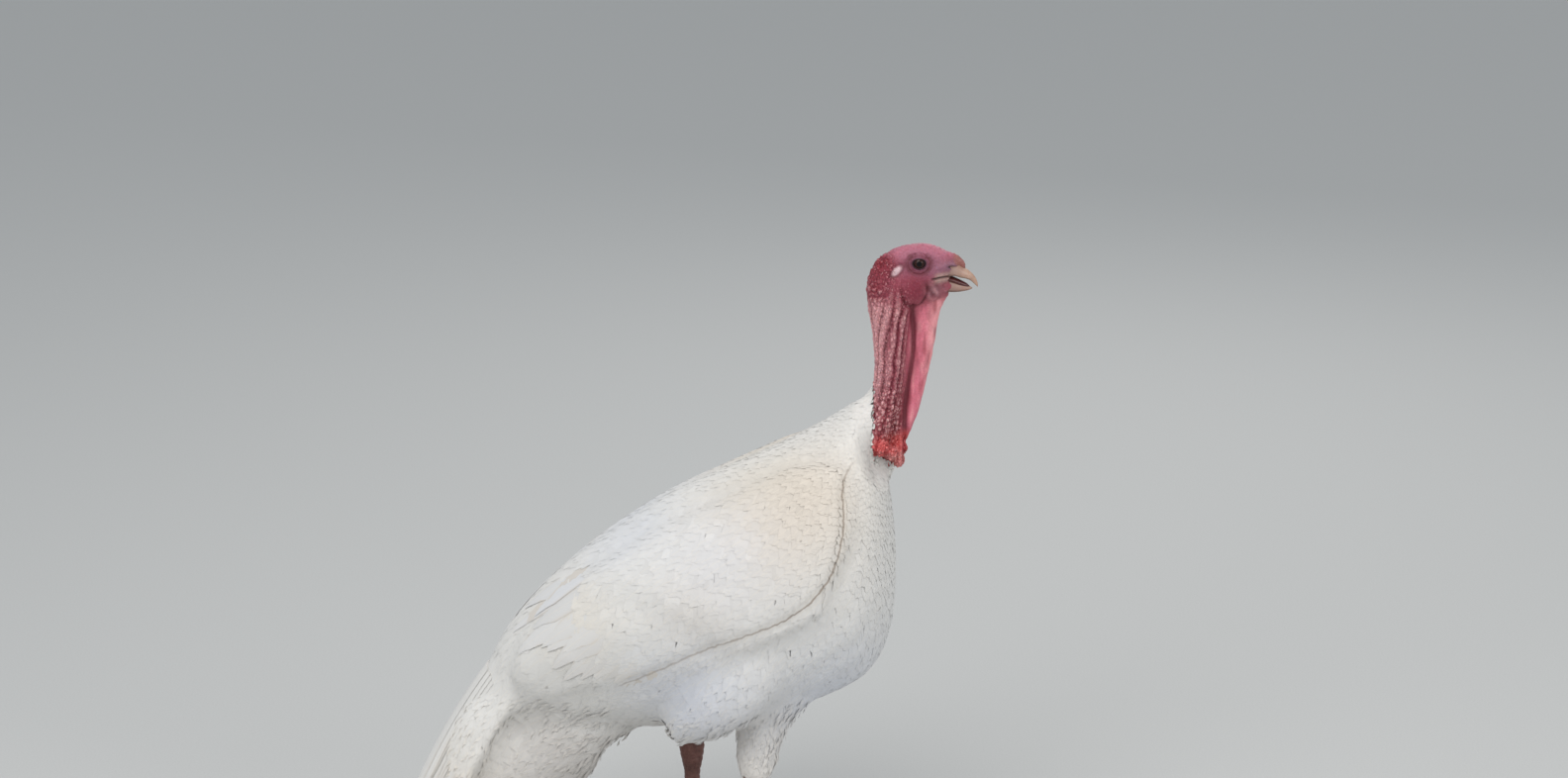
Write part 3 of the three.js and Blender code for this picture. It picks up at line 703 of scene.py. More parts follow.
def face_tint(p, raised):
    """Colour of the bare skin at places in millimetres from FACE, raised by so many of them."""
    x, y, z = p.T
    wide = np.abs(y)
    column = x + 46 - 0.06 * (z + 120)
    mottle = noise_at(p, 9, 21) * 0.5 + noise_at(p, 3.5, 33) * 0.35
    tint = np.tile(linear(136, 58, 72), (len(p), 1))
    front = smoothstep(26, 40, column) * (1 - smoothstep(-46, -30, z))
    tint = blend(tint, linear(198, 108, 124), front)
    tint = blend(tint, linear(214, 144, 148), front * smoothstep(46, 60, column))
    tint = blend(tint, linear(208, 148, 152), smoothstep(16, 0, column) * (1 - smoothstep(-46, -30, z)) * 0.9)
    streak = 0.5 + 0.5 * noise_at(p * (1, 1, 0.16), 4.2, 17)
    tint = blend(tint, linear(136, 52, 64), front * smoothstep(0.5, 0.85, streak) * 0.75)
    tint = blend(tint, linear(226, 158, 160), front * smoothstep(0.42, 0.2, streak) * 0.5)
    low = 1 - smoothstep(-170, -120, z)
    tint = blend(tint, linear(146, 66, 74), low * (1 - front))
    crown = smoothstep(4, 13, z)
    tint = blend(tint, linear(168, 100, 116), crown)
    violet = np.maximum(spot(x, z, 0, 2, 22, 13), 0.6 * spot(x, z, 22, -3, 14, 8))
    tint = blend(tint, linear(158, 108, 122), spot(x, z, 22, -1, 12, 9) * 0.8)
    tint = blend(tint, linear(118, 76, 98), 0.9 * violet * smoothstep(5, 12, wide))
    nape = np.clip(spot(x, z, -42, 4, 12, 14) + 0.6 * spot(x, z, -50, -26, 9, 22), 0, 1)
    tint = blend(tint, linear(144, 40, 50), nape * (0.6 + 0.5 * mottle))
    jaw = spot(x, z, 14, -26, 14, 10) * smoothstep(4, 8, wide)
    tint = blend(tint, linear(132, 88, 96), jaw)
    cheek = np.hypot((x + 6) / 12.5, (z + 24) / 17.5)
    tint = blend(tint, linear(120, 42, 58), np.exp(-((0.9 * cheek)**4)) * (wide > 6) * 0.95)
    # height of the relief: deep creases painted dark red as shade, crests painted pale as highlight
    depth = np.clip(raised / 1.6, -1, 1)
    tint = blend(tint, linear(84, 22, 32), np.clip(-depth, 0, 1) * 0.85)
    crests = np.clip(depth, 0, 1) ** 1.2 * 0.95 * smoothstep(-8, -36, z) * (1 - 0.7 * front)
    tint = blend(tint, linear(220, 164, 166), crests * (1 - np.exp(-((0.8 * cheek) ** 4))))
    # painted highlight: pale dots on the knobbles of the lower neck, outside the creases
    highlight_dots = bumps_at(p, 3.1, 14)
    tint = blend(tint, linear(232, 186, 184), low * (highlight_dots > 0.72) * (depth > -0.2) * 0.75 * (1 - front))
    ear = np.clip(1.2 * np.exp(-(ear_oval(x, z) ** 4)), 0, 1)
    tint = blend(tint, linear(196, 168, 172), ear * (wide > 8))
    # horny lips and cere
    mouth_z = -12.4 - 0.9 * smoothstep(24, 14, x)
    lips = np.exp(-(((z - mouth_z) / 6.0) ** 4)) * smoothstep(12, 20, x)
    tint = blend(tint, linear(170, 140, 132), lips * 0.9)
    cere = spot(x, z, 35, -1, 8, 6) * (wide > 2)
    tint = blend(tint, linear(126, 98, 112), cere * 0.8)
    # painted shade: a dark line in the groove of the mouth
    mouth = np.exp(-(((z - mouth_z) / 1.1) ** 2)) * smoothstep(12, 17, x) * (wide > 2)
    tint = blend(tint, linear(52, 20, 22), mouth)
    # painted shade: a dark slit in the nostril's hollow
    slit = spot(x, z, 34.5, -2.6, 3.4, 1.0, -0.25) * (wide > 4)
    tint = blend(tint, linear(44, 26, 32), np.clip(slit * 1.6, 0, 1))
    on_snood = smoothstep(33, 40, x) * smoothstep(-2, 2, z + 0.9 * (x - 38))
    tint = blend(tint, linear(140, 90, 84), on_snood)
    # dark moist rim of the lids
    ex, ez = x - EYE_CENTRE[0], z - EYE_CENTRE[2]
    almond = np.hypot(ex / 6.7, (ez - 0.1) / 5.2)
    tint = blend(tint, linear(40, 22, 28), (1 - smoothstep(1.0, 1.36, almond)) * (wide > 9))
    # lobes
    lobes_here = (1 - smoothstep(-192, -178, z + 5 * mottle)) * smoothstep(-58, -50, x)
    tint = blend(tint, linear(206, 90, 86), lobes_here * (0.75 + 0.4 * mottle))
    lowest = (1 - smoothstep(-208, -200, z)) * smoothstep(-40, -30, x)
    tint = blend(tint, linear(206, 136, 132), lowest * 0.85)
    # painted shade: the lobes' creases darker red
    tint = blend(tint, linear(150, 44, 48), lobes_here * np.clip(-depth, 0, 1))
    return np.clip(tint * (1.16 + 0.12 * mottle[:, None]), 0, 0.9)


def knobbly(p):
    """How strongly fine knobbles cover the bare skin: hind neck, nape and lobes, less so the crown."""
    x, y, z = p.T
    hind = 1 - smoothstep(24, 36, x + 46 - 0.06 * (z + 120))
    neck = hind * (1 - smoothstep(-40, -10, z))
    behind_ear = 1 - smoothstep(-32, -22, x)
    return np.clip(0.15 + np.maximum(neck, behind_ear * (1 - 0.5 * smoothstep(4, 14, z))) + (z < -188), 0, 1)


def leg_tint(p, raised):
    """Brownish skin of shanks and toes at places in millimetres, partly dirt and partly painted shade,
    painted darker between its scutes as shade.
    """
    shade = noise_at(p, 14, 3) * 0.5 + noise_at(p, 4, 9) * 0.3
    tint = blend(np.tile(linear(130, 90, 82), (len(p), 1)), linear(88, 60, 54), 0.5 + shade)
    # painted shade: darker in the hollows between the scutes
    return blend(tint, linear(58, 38, 34), np.clip(-raised, 0, 1))


def tinted(mesh, tint):
    """Keeps a colour for each of a mesh's points as its attribute tint."""
    colour = mesh.attributes.new("tint", "FLOAT_COLOR", "POINT")
    rows = np.concatenate([np.clip(tint, 0, 1), np.ones((len(tint), 1))], 1)
    colour.data.foreach_set("color", rows.astype(np.float32).ravel())


def measured(mesh, name, values):
    """Keeps a number for each of a mesh's points as an attribute."""
    mesh.attributes.new(name, "FLOAT", "POINT").data.foreach_set("value", values.astype(np.float32))


tint = plumage_tint(skin_points) * linear(248, 214, 204)
leg_points = skin_points[is_leg] / MM
scaly = 1 - smoothstep(SHANK_TOP - 14, SHANK_TOP, leg_points[:, 2])
tint[is_leg] = blend(tint[is_leg], leg_tint(leg_points, raised[is_leg]), scaly)
tint[is_bare] = face_tint(facial[is_bare], raised[is_bare])
tinted(skin.data, tint)
knobbles = np.full(len(skin_points), 0.1)
knobbles[is_bare] = knobbly(facial[is_bare])
measured(skin.data, "knobbles", knobbles)


class Value:
    """A material value that can be used in sums."""

    def __init__(self, paint, socket):
        self.paint, self.socket = paint, socket

    def __add__(self, other):
        return self.paint.sum("ADD", self, other)

    def __sub__(self, other):
        return self.paint.sum("SUBTRACT", self, other)

    def __rsub__(self, other):
        return self.paint.sum("SUBTRACT", other, self)

    def __mul__(self, other):
        return self.paint.sum("MULTIPLY", self, other)


class Paint:
    """A new material: its nodes, and the finished shader's constant settings."""

    def __init__(self, name, **constants):
        self.material = bpy.data.materials.new(name)
        self.material.use_nodes = True
        self.tree = self.material.node_tree
        self.shader = self.tree.nodes["Principled BSDF"]
        for key, value in constants.items():
            self.shader.inputs[key.replace("_", " ")].default_value = value

    def node(self, kind, settings=None, output=0, **inputs):
        """One node: its type, settings, and socket values by name (or by _0, _1 for a place)."""
        made = self.tree.nodes.new(kind)
        for key, value in (settings or {}).items():
            setattr(made, key, value)
        for key, value in inputs.items():
            socket = made.inputs[int(key[1:])] if key[0] == "_" else made.inputs[key.replace("_", " ")]
            if isinstance(value, Value):
                self.tree.links.new(value.socket, socket)
            else:
                socket.default_value = value
        return Value(self, made.outputs[output])

    def sum(self, operation, a, b):
        return self.node("ShaderNodeMath", {"operation": operation}, _0=a, _1=b)

    def mix(self, amount, a, b, kind="MIX"):
        """Colour a turned into colour b by an amount."""
        return self.node("ShaderNodeMix", {"data_type": "RGBA", "blend_type": kind, "clamp_factor": True},
                         2, _0=amount, _6=a, _7=b)

    def spread(self, value, low, high, to_low=0.0, to_high=1.0):
        return self.node("ShaderNodeMapRange", None, Value=value, From_Min=low, From_Max=high,
                         To_Min=to_low, To_Max=to_high)

    def coords(self):
        return self.node("ShaderNodeTexCoord", None, 3)

    def noise(self, scale, detail=3.0, roughness=0.55, at=None):
        return self.node("ShaderNodeTexNoise", None, 0, Vector=at or self.coords(), Scale=scale,
                         Detail=detail, Roughness=roughness)

    def cells(self, scale, at, feature="F1"):
        return self.node("ShaderNodeTexVoronoi", {"feature": feature}, 0, Vector=at, Scale=scale)

    def attribute(self, name, output=0):
        return self.node("ShaderNodeAttribute", {"attribute_name": name}, output)

    def finish(self, **inputs):
        """Links what varies over the surface: Base Color, Roughness, Normal and the like."""
        for key, value in inputs.items():
            self.tree.links.new(value.socket, self.shader.inputs[key.replace("_", " ")])
        return self.material

    def bump(self, height, distance, strength=1.0):
        return self.node("ShaderNodeBump", None, Height=height, Distance=distance, Strength=strength)


def rgba(*rgb):
    return (*linear(*rgb), 1.0)


def dressed(piece, material, slot, *nodes):
    """Gives a finished piece its material, its body and the nodes that it stands for; slot is not used."""
    piece.data.materials.clear()
    piece.data.materials.append(material)
    piece.data.polygons.foreach_set("use_smooth", np.ones(len(piece.data.polygons), bool))
    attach(piece, "root")
    if nodes:
        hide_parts(*nodes)


def skin_paint():
    """Moist skin: knobbles with creases between them where it is thick, pores elsewhere. The creases are
    painted dark as shade, the knobbles' tops pale as highlight.
    """
    paint = Paint("bare_skin", IOR=1.42, Specular_IOR_Level=0.4, Subsurface_Weight=0.1,
                  Subsurface_Scale=0.002)
    rough = paint.attribute("knobbles", 2)
    warp = paint.node("ShaderNodeTexNoise", None, 1, Vector=paint.coords(), Scale=220.0)
    warp = paint.node("ShaderNodeVectorMath", {"operation": "SCALE"}, _0=warp, Scale=0.004)
    warped = paint.node("ShaderNodeVectorMath", {"operation": "MULTIPLY_ADD"}, _0=paint.coords(),
                        _1=(1.0, 1.0, 0.7), _2=warp)
    lumps = paint.cells(360, warped)
    cracks = paint.cells(360, warped, "DISTANCE_TO_EDGE")
    fine = paint.noise(700, 3)
    broad = paint.noise(60, 2)
    tone = paint.mix(paint.spread(fine, 0.35, 0.7) * 0.3, paint.attribute("tint"), rgba(150, 96, 98),
                     "MULTIPLY")
    patchy = paint.spread(paint.noise(170, 2), 0.38, 0.62)
    # painted shade: dark in the cracks between the knobbles
    tone = paint.mix(paint.spread(cracks, 0.0, 0.13, 0.5, 0.0) * rough * patchy, tone, rgba(84, 22, 32))
    # painted highlight: pale on the knobbles' tops
    tone = paint.mix(paint.spread(lumps, 0.08, 0.3, 0.34, 0.0) * rough, tone, rgba(232, 186, 184))
    height = fine * 0.25 + (1 - lumps) * rough + paint.spread(cracks, 0.0, 0.14) * rough * 0.6
    return paint.finish(Base_Color=tone, Roughness=paint.spread(fine + broad * 0.6, 0.5, 1.0, 0.38, 0.6),
                        Normal=paint.bump(height, 0.0009, 0.9))


nodes_of_flesh = ["head", "neck", "trunk", "snood", "caruncle_front", *[
    f"{part}_{side}" for side in SIDES for part in ("caruncle", "drumstick", "shank", "foot")]]
dressed(skin, skin_paint(), "bare_skin", *nodes_of_flesh)

# ---- Eyes --------------------------------------------------------------------------------------
# Round moist eyeballs with a black pupil in a dark brown iris, set in the lids of the skin.


def eye_paint(side):
    paint = Paint(f"eye_{side}", Roughness=0.07, Specular_IOR_Level=0.32, IOR=1.4)
    low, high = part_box(f"eye_{side}")
    middle = (low + high) / 2
    place = paint.node("ShaderNodeVectorMath", {"operation": "SUBTRACT"}, _0=paint.coords(), _1=middle)
    flat = paint.node("ShaderNodeVectorMath", {"operation": "MULTIPLY"}, _0=place, _1=(1000.0, 0.0, 1000.0))
    away = paint.node("ShaderNodeVectorMath", {"operation": "LENGTH"}, 1, _0=flat)
    rays = paint.noise(1500, 2)
    iris = paint.mix(paint.spread(rays, 0.3, 0.7), rgba(30, 14, 12), rgba(58, 28, 20))
    tone = paint.mix(paint.spread(away, 2.6, 3.2), rgba(8, 6, 7), iris)
    tone = paint.mix(paint.spread(away, 4.9, 5.5), tone, rgba(14, 9, 10))
    return paint.finish(Base_Color=tone)


for side, sign in SIDES.items():
    low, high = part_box(f"eye_{side}")
    centre = np.array((low + high) / 2)
    ball = bmesh.new()
    bmesh.ops.create_uvsphere(ball, u_segments=48, v_segments=32, radius=EYE_RADIUS * MM)
    for vert in ball.verts:
        x, y, z = vert.co
        bulge = max(0.0, z / (EYE_RADIUS * MM))
        cornea = 1 + 0.035 * float(smoothstep(0.72, 0.92, bulge))
        vert.co = Vector(centre) + Vector((x, sign * z, sign * y)) * cornea
    mesh = bpy.data.meshes.new(f"eyeball_{side}")
    bmesh.ops.recalc_face_normals(ball, faces=ball.faces)
    ball.to_mesh(mesh)
    ball.free()
    eyeball = bpy.data.objects.new(f"eyeball_{side}", mesh)
    bpy.context.scene.collection.objects.link(eyeball)
    dressed(eyeball, eye_paint(side), "eye", f"eye_{side}")

# ---- Bill and mouth ----------------------------------------------------------------------------
# Two horny halves grown over the jaws: the upper one hooked, the lower one shorter and straight,
# with the floor of the mouth and the tongue between them, their red darkened as painted shade.

# Ridge x and z, cutting edge x and z, half width; millimetres from FACE, base first.
UPPER_BILL = [
    (20, 4, 14, -10.5, 8.6), (33, 3.4, 27, -12.0, 9.4), (41, 0.2, 36, -12.0, 8.4),
    (47.2, -4.2, 43, -14.0, 7.1), (52.6, -7.8, 49.4, -15.6, 5.6), (57.2, -12.2, 54.3, -18, 4.0),
    (60.2, -16.6, 57.6, -21.2, 2.5), (61.9, -21.6, 60.3, -24.0, 1.3), (62.2, -25.2, 61.6, -25.7, 0.4)]
LOWER_BILL = [
    (14, -14.4, 14, -25, 8.2), (27, -15.4, 27, -28.6, 8.2), (34, -16.9, 34, -29.6, 7.6),
    (42, -20.3, 42, -29.6, 6.2), (49.5, -22.8, 49.5, -28.8, 4.2), (54, -24.9, 54, -28, 2.3),
    (56.3, -26.6, 56.2, -27.2, 0.5)]


def bill_half(rows, hollow, along=46, around=44):
    """Rings from cutting edge over the ridge to the other cutting edge, closed by a hollow inside.
    hollow is how far the inside is arched, as a share of the outside."""
    row = spline(rows, np.linspace(0, 1, along))
    turn = np.linspace(-1, 1, around // 2 + 1)
    rings = []
    for rx, rz, ex, ez, half in row:
        rise = np.cos(turn * math.pi / 2) ** 0.8
        outer = np.stack([ex + (rx - ex) * rise, half * np.sin(turn * math.pi / 2), ez + (rz - ez) * rise], 1)
        back = turn[-2:0:-1]
        dome = hollow * (1 - back**2)
        inner = np.stack([ex + (rx - ex) * dome, half * 0.93 * back, ez + (rz - ez) * dome], 1)
        rings.append(np.concatenate([outer, inner]))
    points, faces = tube(np.array(rings))
    return points * MM + FACE, faces


def horn_paint():
    """Translucent horn, greyish pink at its base and paler towards the tip, faintly streaked."""
    paint = Paint("bill_horn", IOR=1.5, Subsurface_Weight=0.08, Subsurface_Scale=0.002)
    at = paint.node("ShaderNodeVectorMath", {"operation": "SUBTRACT"}, _0=paint.coords(), _1=tuple(FACE))
    along = paint.node("ShaderNodeSeparateXYZ", None, 0, Vector=at)
    above = paint.node("ShaderNodeSeparateXYZ", None, 2, Vector=at)
    stretched = paint.node("ShaderNodeVectorMath", {"operation": "MULTIPLY"}, _0=at, _1=(0.22, 1.0, 1.0))
    streaks = paint.noise(900, 3, at=stretched)
    blotch = paint.noise(150, 3, at=at)
    tone = paint.mix(paint.spread(along, 0.028, 0.058), rgba(138, 108, 104), rgba(182, 150, 128))
    # painted shade: the lowest part of the bill, its underside, is darker
    tone = paint.mix(paint.spread(above, -0.030, -0.021, 0.75, 0.0), tone, rgba(112, 82, 76))
    tone = paint.mix(paint.spread(blotch, 0.4, 0.7) * 0.6, tone, rgba(140, 102, 88))
    tone = paint.mix(paint.spread(streaks, 0.5, 0.8) * 0.35, tone, rgba(120, 90, 76))
    return paint.finish(Base_Color=tone, Roughness=paint.spread(streaks, 0.3, 0.8, 0.32, 0.5),
                        Normal=paint.bump(blotch * 0.5 + streaks, 0.0002, 0.6))


horn = horn_paint()
for name, rows, hollow in (("bill_upper", UPPER_BILL, 0.35), ("bill_lower", LOWER_BILL, 0.3)):
    piece = outward(joined(f"{name}_horn", [bill_half(rows, hollow)]))
    dressed(piece, horn, "bill_horn", name)


def mouth_paint():
    paint = Paint("mouth_lining", IOR=1.4, Coat_Weight=0.4, Coat_Roughness=0.15)
    grain = paint.noise(700, 3)
    # painted shade: the lining's red is kept dark, as the shade inside the mouth
    tone = paint.mix(paint.spread(grain, 0.35, 0.7), rgba(58, 20, 22), rgba(92, 36, 34))
    return paint.finish(Base_Color=tone, Roughness=paint.spread(grain, 0.3, 0.7, 0.3, 0.5),
                        Normal=paint.bump(grain, 0.0003, 0.7))


# Place along the bill, top and bottom heights and half width of the mouth's floor.
MOUTH_FLOOR = [(12, -13, -16.4, 8.6), (24, -13.2, -18.0, 8.2), (33, -13.6, -20.2, 7.4),
               (42, -17.0, -24.0, 5.6), (49, -20.6, -26, 3.8), (53.2, -24.2, -26.4, 1.6)]


def mouth_floor(along=30, around=28):
    """A low wedge that fills the mouth behind the bill's edges."""
    turn = np.arange(around) / around * 2 * math.pi
    rings = [np.stack([np.full(around, x), half * np.sin(turn),
                       (top + bottom) / 2 + (top - bottom) / 2 * np.cos(turn)], 1)
             for x, top, bottom, half in spline(MOUTH_FLOOR, np.linspace(0, 1, along))]
    points, faces = tube(np.array(rings))
    return points * MM + FACE, faces


tongue = ellipsoid((40, 0, -18.6), (9, 3.0, 1.7), -0.42)
mouth_lining = outward(joined("mouth_lining", [mouth_floor(), tongue]))
dressed(mouth_lining, mouth_paint(), "bare_skin")

# ---- Claws -------------------------------------------------------------------------------------
# Blunt brown horn at the end of each toe, darker at the bottom next to the floor.


def claw_paint():
    paint = Paint("claw_horn", IOR=1.5)
    streaks = paint.noise(700, 3)
    low = paint.node("ShaderNodeSeparateXYZ", None, 2, Vector=paint.coords())
    tone = paint.mix(paint.spread(streaks, 0.35, 0.7), rgba(96, 76, 64), rgba(136, 112, 92))
    tone = paint.mix(paint.spread(low, 0.001, 0.006, 0.5, 0.0), tone, rgba(60, 48, 42))
    return paint.finish(Base_Color=tone, Roughness=paint.spread(streaks, 0.3, 0.7, 0.35, 0.6),
                        Normal=paint.bump(streaks, 0.0003, 0.6))


claw_horn = claw_paint()
for side in SIDES:
    names = [f"claw_{side}_{toe}" for toe in TOES]
    claws = clay(f"claws_{side}", [node_shape(name) for name in names], 0.6 * MM, 4)
    dressed(claws, claw_horn, "claw", *names)

# ---- Lie of the plumage ------------------------------------------------------------------------
# Feathers point away from the head, down and back round the body, and down the legs. Each row is
# a place on the bird's left side, in millimetres, and the way that feathers there point.

FLOW = np.array([
    (150, 10, 575, -0.80, 0.05, -0.60), (150, 33, 545, -0.45, 0.30, -0.85),
    (165, 25, 500, -0.10, 0.25, -1.0), (176, 0, 440, 0.0, 0.0, -1.0),
    (150, 60, 480, -0.50, 0.30, -0.80), (120, 40, 545, -0.85, 0.10, -0.50),
    (60, 30, 515, -0.90, 0.05, -0.42), (60, 110, 470, -0.85, 0.10, -0.50),
    (100, 100, 430, -0.70, 0.10, -0.70), (150, 80, 400, -0.45, 0.25, -0.85),
    (178, 0, 360, -0.15, 0.0, -1.0), (160, 30, 290, -0.70, 0.10, -0.70),
    (120, 90, 300, -0.70, 0.15, -0.70), (90, 30, 240, -1.0, 0.05, -0.20),
    (0, 40, 218, -1.0, 0.05, -0.05), (80, 125, 370, -0.72, 0.0, -0.70),
    (20, 133, 420, -0.80, 0.0, -0.60), (0, 130, 340, -0.75, 0.0, -0.66),
    (-60, 125, 400, -0.77, -0.02, -0.64), (-130, 115, 340, -0.78, -0.10, -0.62),
    (-100, 110, 270, -0.85, -0.10, -0.50), (-30, 0, 475, -0.92, 0.0, -0.40),
    (-120, 20, 425, -0.82, 0.0, -0.57), (-200, 20, 350, -0.72, 0.0, -0.70),
    (-200, 80, 300, -0.75, -0.15, -0.65), (20, 118, 320, -0.50, 0.0, -0.87),
    (-20, 115, 270, -0.65, -0.05, -0.76), (-60, 100, 215, -0.75, -0.10, -0.66),
    (60, 80, 260, -0.50, 0.05, -0.85), (34, 80, 215, -0.25, 0.0, -0.97),
    (0, 75, 165, -0.10, 0.0, -1.0), (-90, 40, 212, -0.95, 0.0, -0.30),
    (-150, 40, 200, -0.80, 0.0, -0.60), (-230, 30, 140, -0.72, 0.0, -0.70),
    (-290, 20, 100, -0.70, 0.0, -0.72), (-250, 30, 300, -0.62, 0.0, -0.78),
    (-306, 30, 220, -0.48, 0.0, -0.87), (-350, 30, 120, -0.38, 0.0, -0.92)])
FLOW_REACH = 38.0


def lie(points):
    """The way that feathers point at places on the body: the rows near each one, blended."""
    p = (points - BODY_START) / MM
    side = np.where(p[:, 1:2] < 0, -1.0, 1.0)
    p = p * np.concatenate([np.ones_like(side), side, np.ones_like(side)], 1)
    away = ((p[:, None] - FLOW[None, :, :3]) ** 2).sum(-1)
    weight = np.exp(-(away - away.min(1, keepdims=True)) / (2 * FLOW_REACH**2))
    way = weight @ FLOW[:, 3:]
    way[:, 1] *= side[:, 0]
    return unit(way)


ZONES = [*FLESHED, "tail"]
zone_shapes = [node_shape(name) for name in ZONES]
zone_of_face = [name for name, (_, faces) in zip(ZONES, zone_shapes) for _ in faces]
zone_starts = np.cumsum([0, *[len(points) for points, _ in zone_shapes]])
zone_tree = BVHTree.FromPolygons(
    np.concatenate([points for points, _ in zone_shapes]).tolist(),
    [[int(i + start) for i in face] for start, (_, faces) in zip(zone_starts, zone_shapes) for face in faces])


def zones_at(points):
    """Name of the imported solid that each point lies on, without its side."""
    names = [zone_of_face[zone_tree.find_nearest(Vector(p))[2]] for p in points]
    return np.array([name.removesuffix("_left").removesuffix("_right") for name in names])


rng = np.random.default_rng(11)


def scattered(count):
    """Candidate roots all over the body form, in random order."""
    a, b, c = (form.points[form.triangles[:, k]] for k in range(3))
    area = np.linalg.norm(np.cross(b - a, c - a), axis=1)
    face = rng.choice(len(area), count, p=area / area.sum())
    u, v = rng.random((2, count, 1))
    flip = u + v > 1
    u, v = np.where(flip, 1 - u, u), np.where(flip, 1 - v, v)
    return a[face] + (b - a)[face] * u + (c - a)[face] * v


def thinned(points, spacing):
    """Those of the points that keep their own spacing from all taken before them."""
    tree = kdtree.KDTree(len(points))
    for i, p in enumerate(points):
        tree.insert(p, i)
    tree.balance()
    alive, kept = np.ones(len(points), bool), []
    for i, p in enumerate(points):
        if alive[i]:
            kept.append(i)
            for _, other, _ in tree.find_range(p, spacing[i]):
                alive[other] = False
    return np.array(kept)


# ---- Feathers ----------------------------------------------------------------------------------
# Every feather is a thin closed vane, arched across and rounded at its tip. Its root is sunk
# under its neighbours and its tip lies on the next row, so that they overlap like roof tiles.


def vane_faces(rows, columns):
    """Triangles of one vane's bowed top and flat underside, which share their outline."""
    wide = columns + 1
    faces = []
    for k in range(rows):
        for j in range(columns):
            a = k * wide + j
            faces += [(a, a + wide, a + wide + 1), (a, a + wide + 1, a + 1)]
        left, right = k * wide, k * wide + columns
        faces += [(left, right, right + wide), (left, right + wide, left + wide)]
    last = rows * wide
    for j in range(1, columns):
        faces += [(0, j, j + 1), (last, last + j + 1, last + j)]
    return np.array(faces)


THICKNESS = 0.06 * MM
CALM = 0.7
PATCH = 0.003


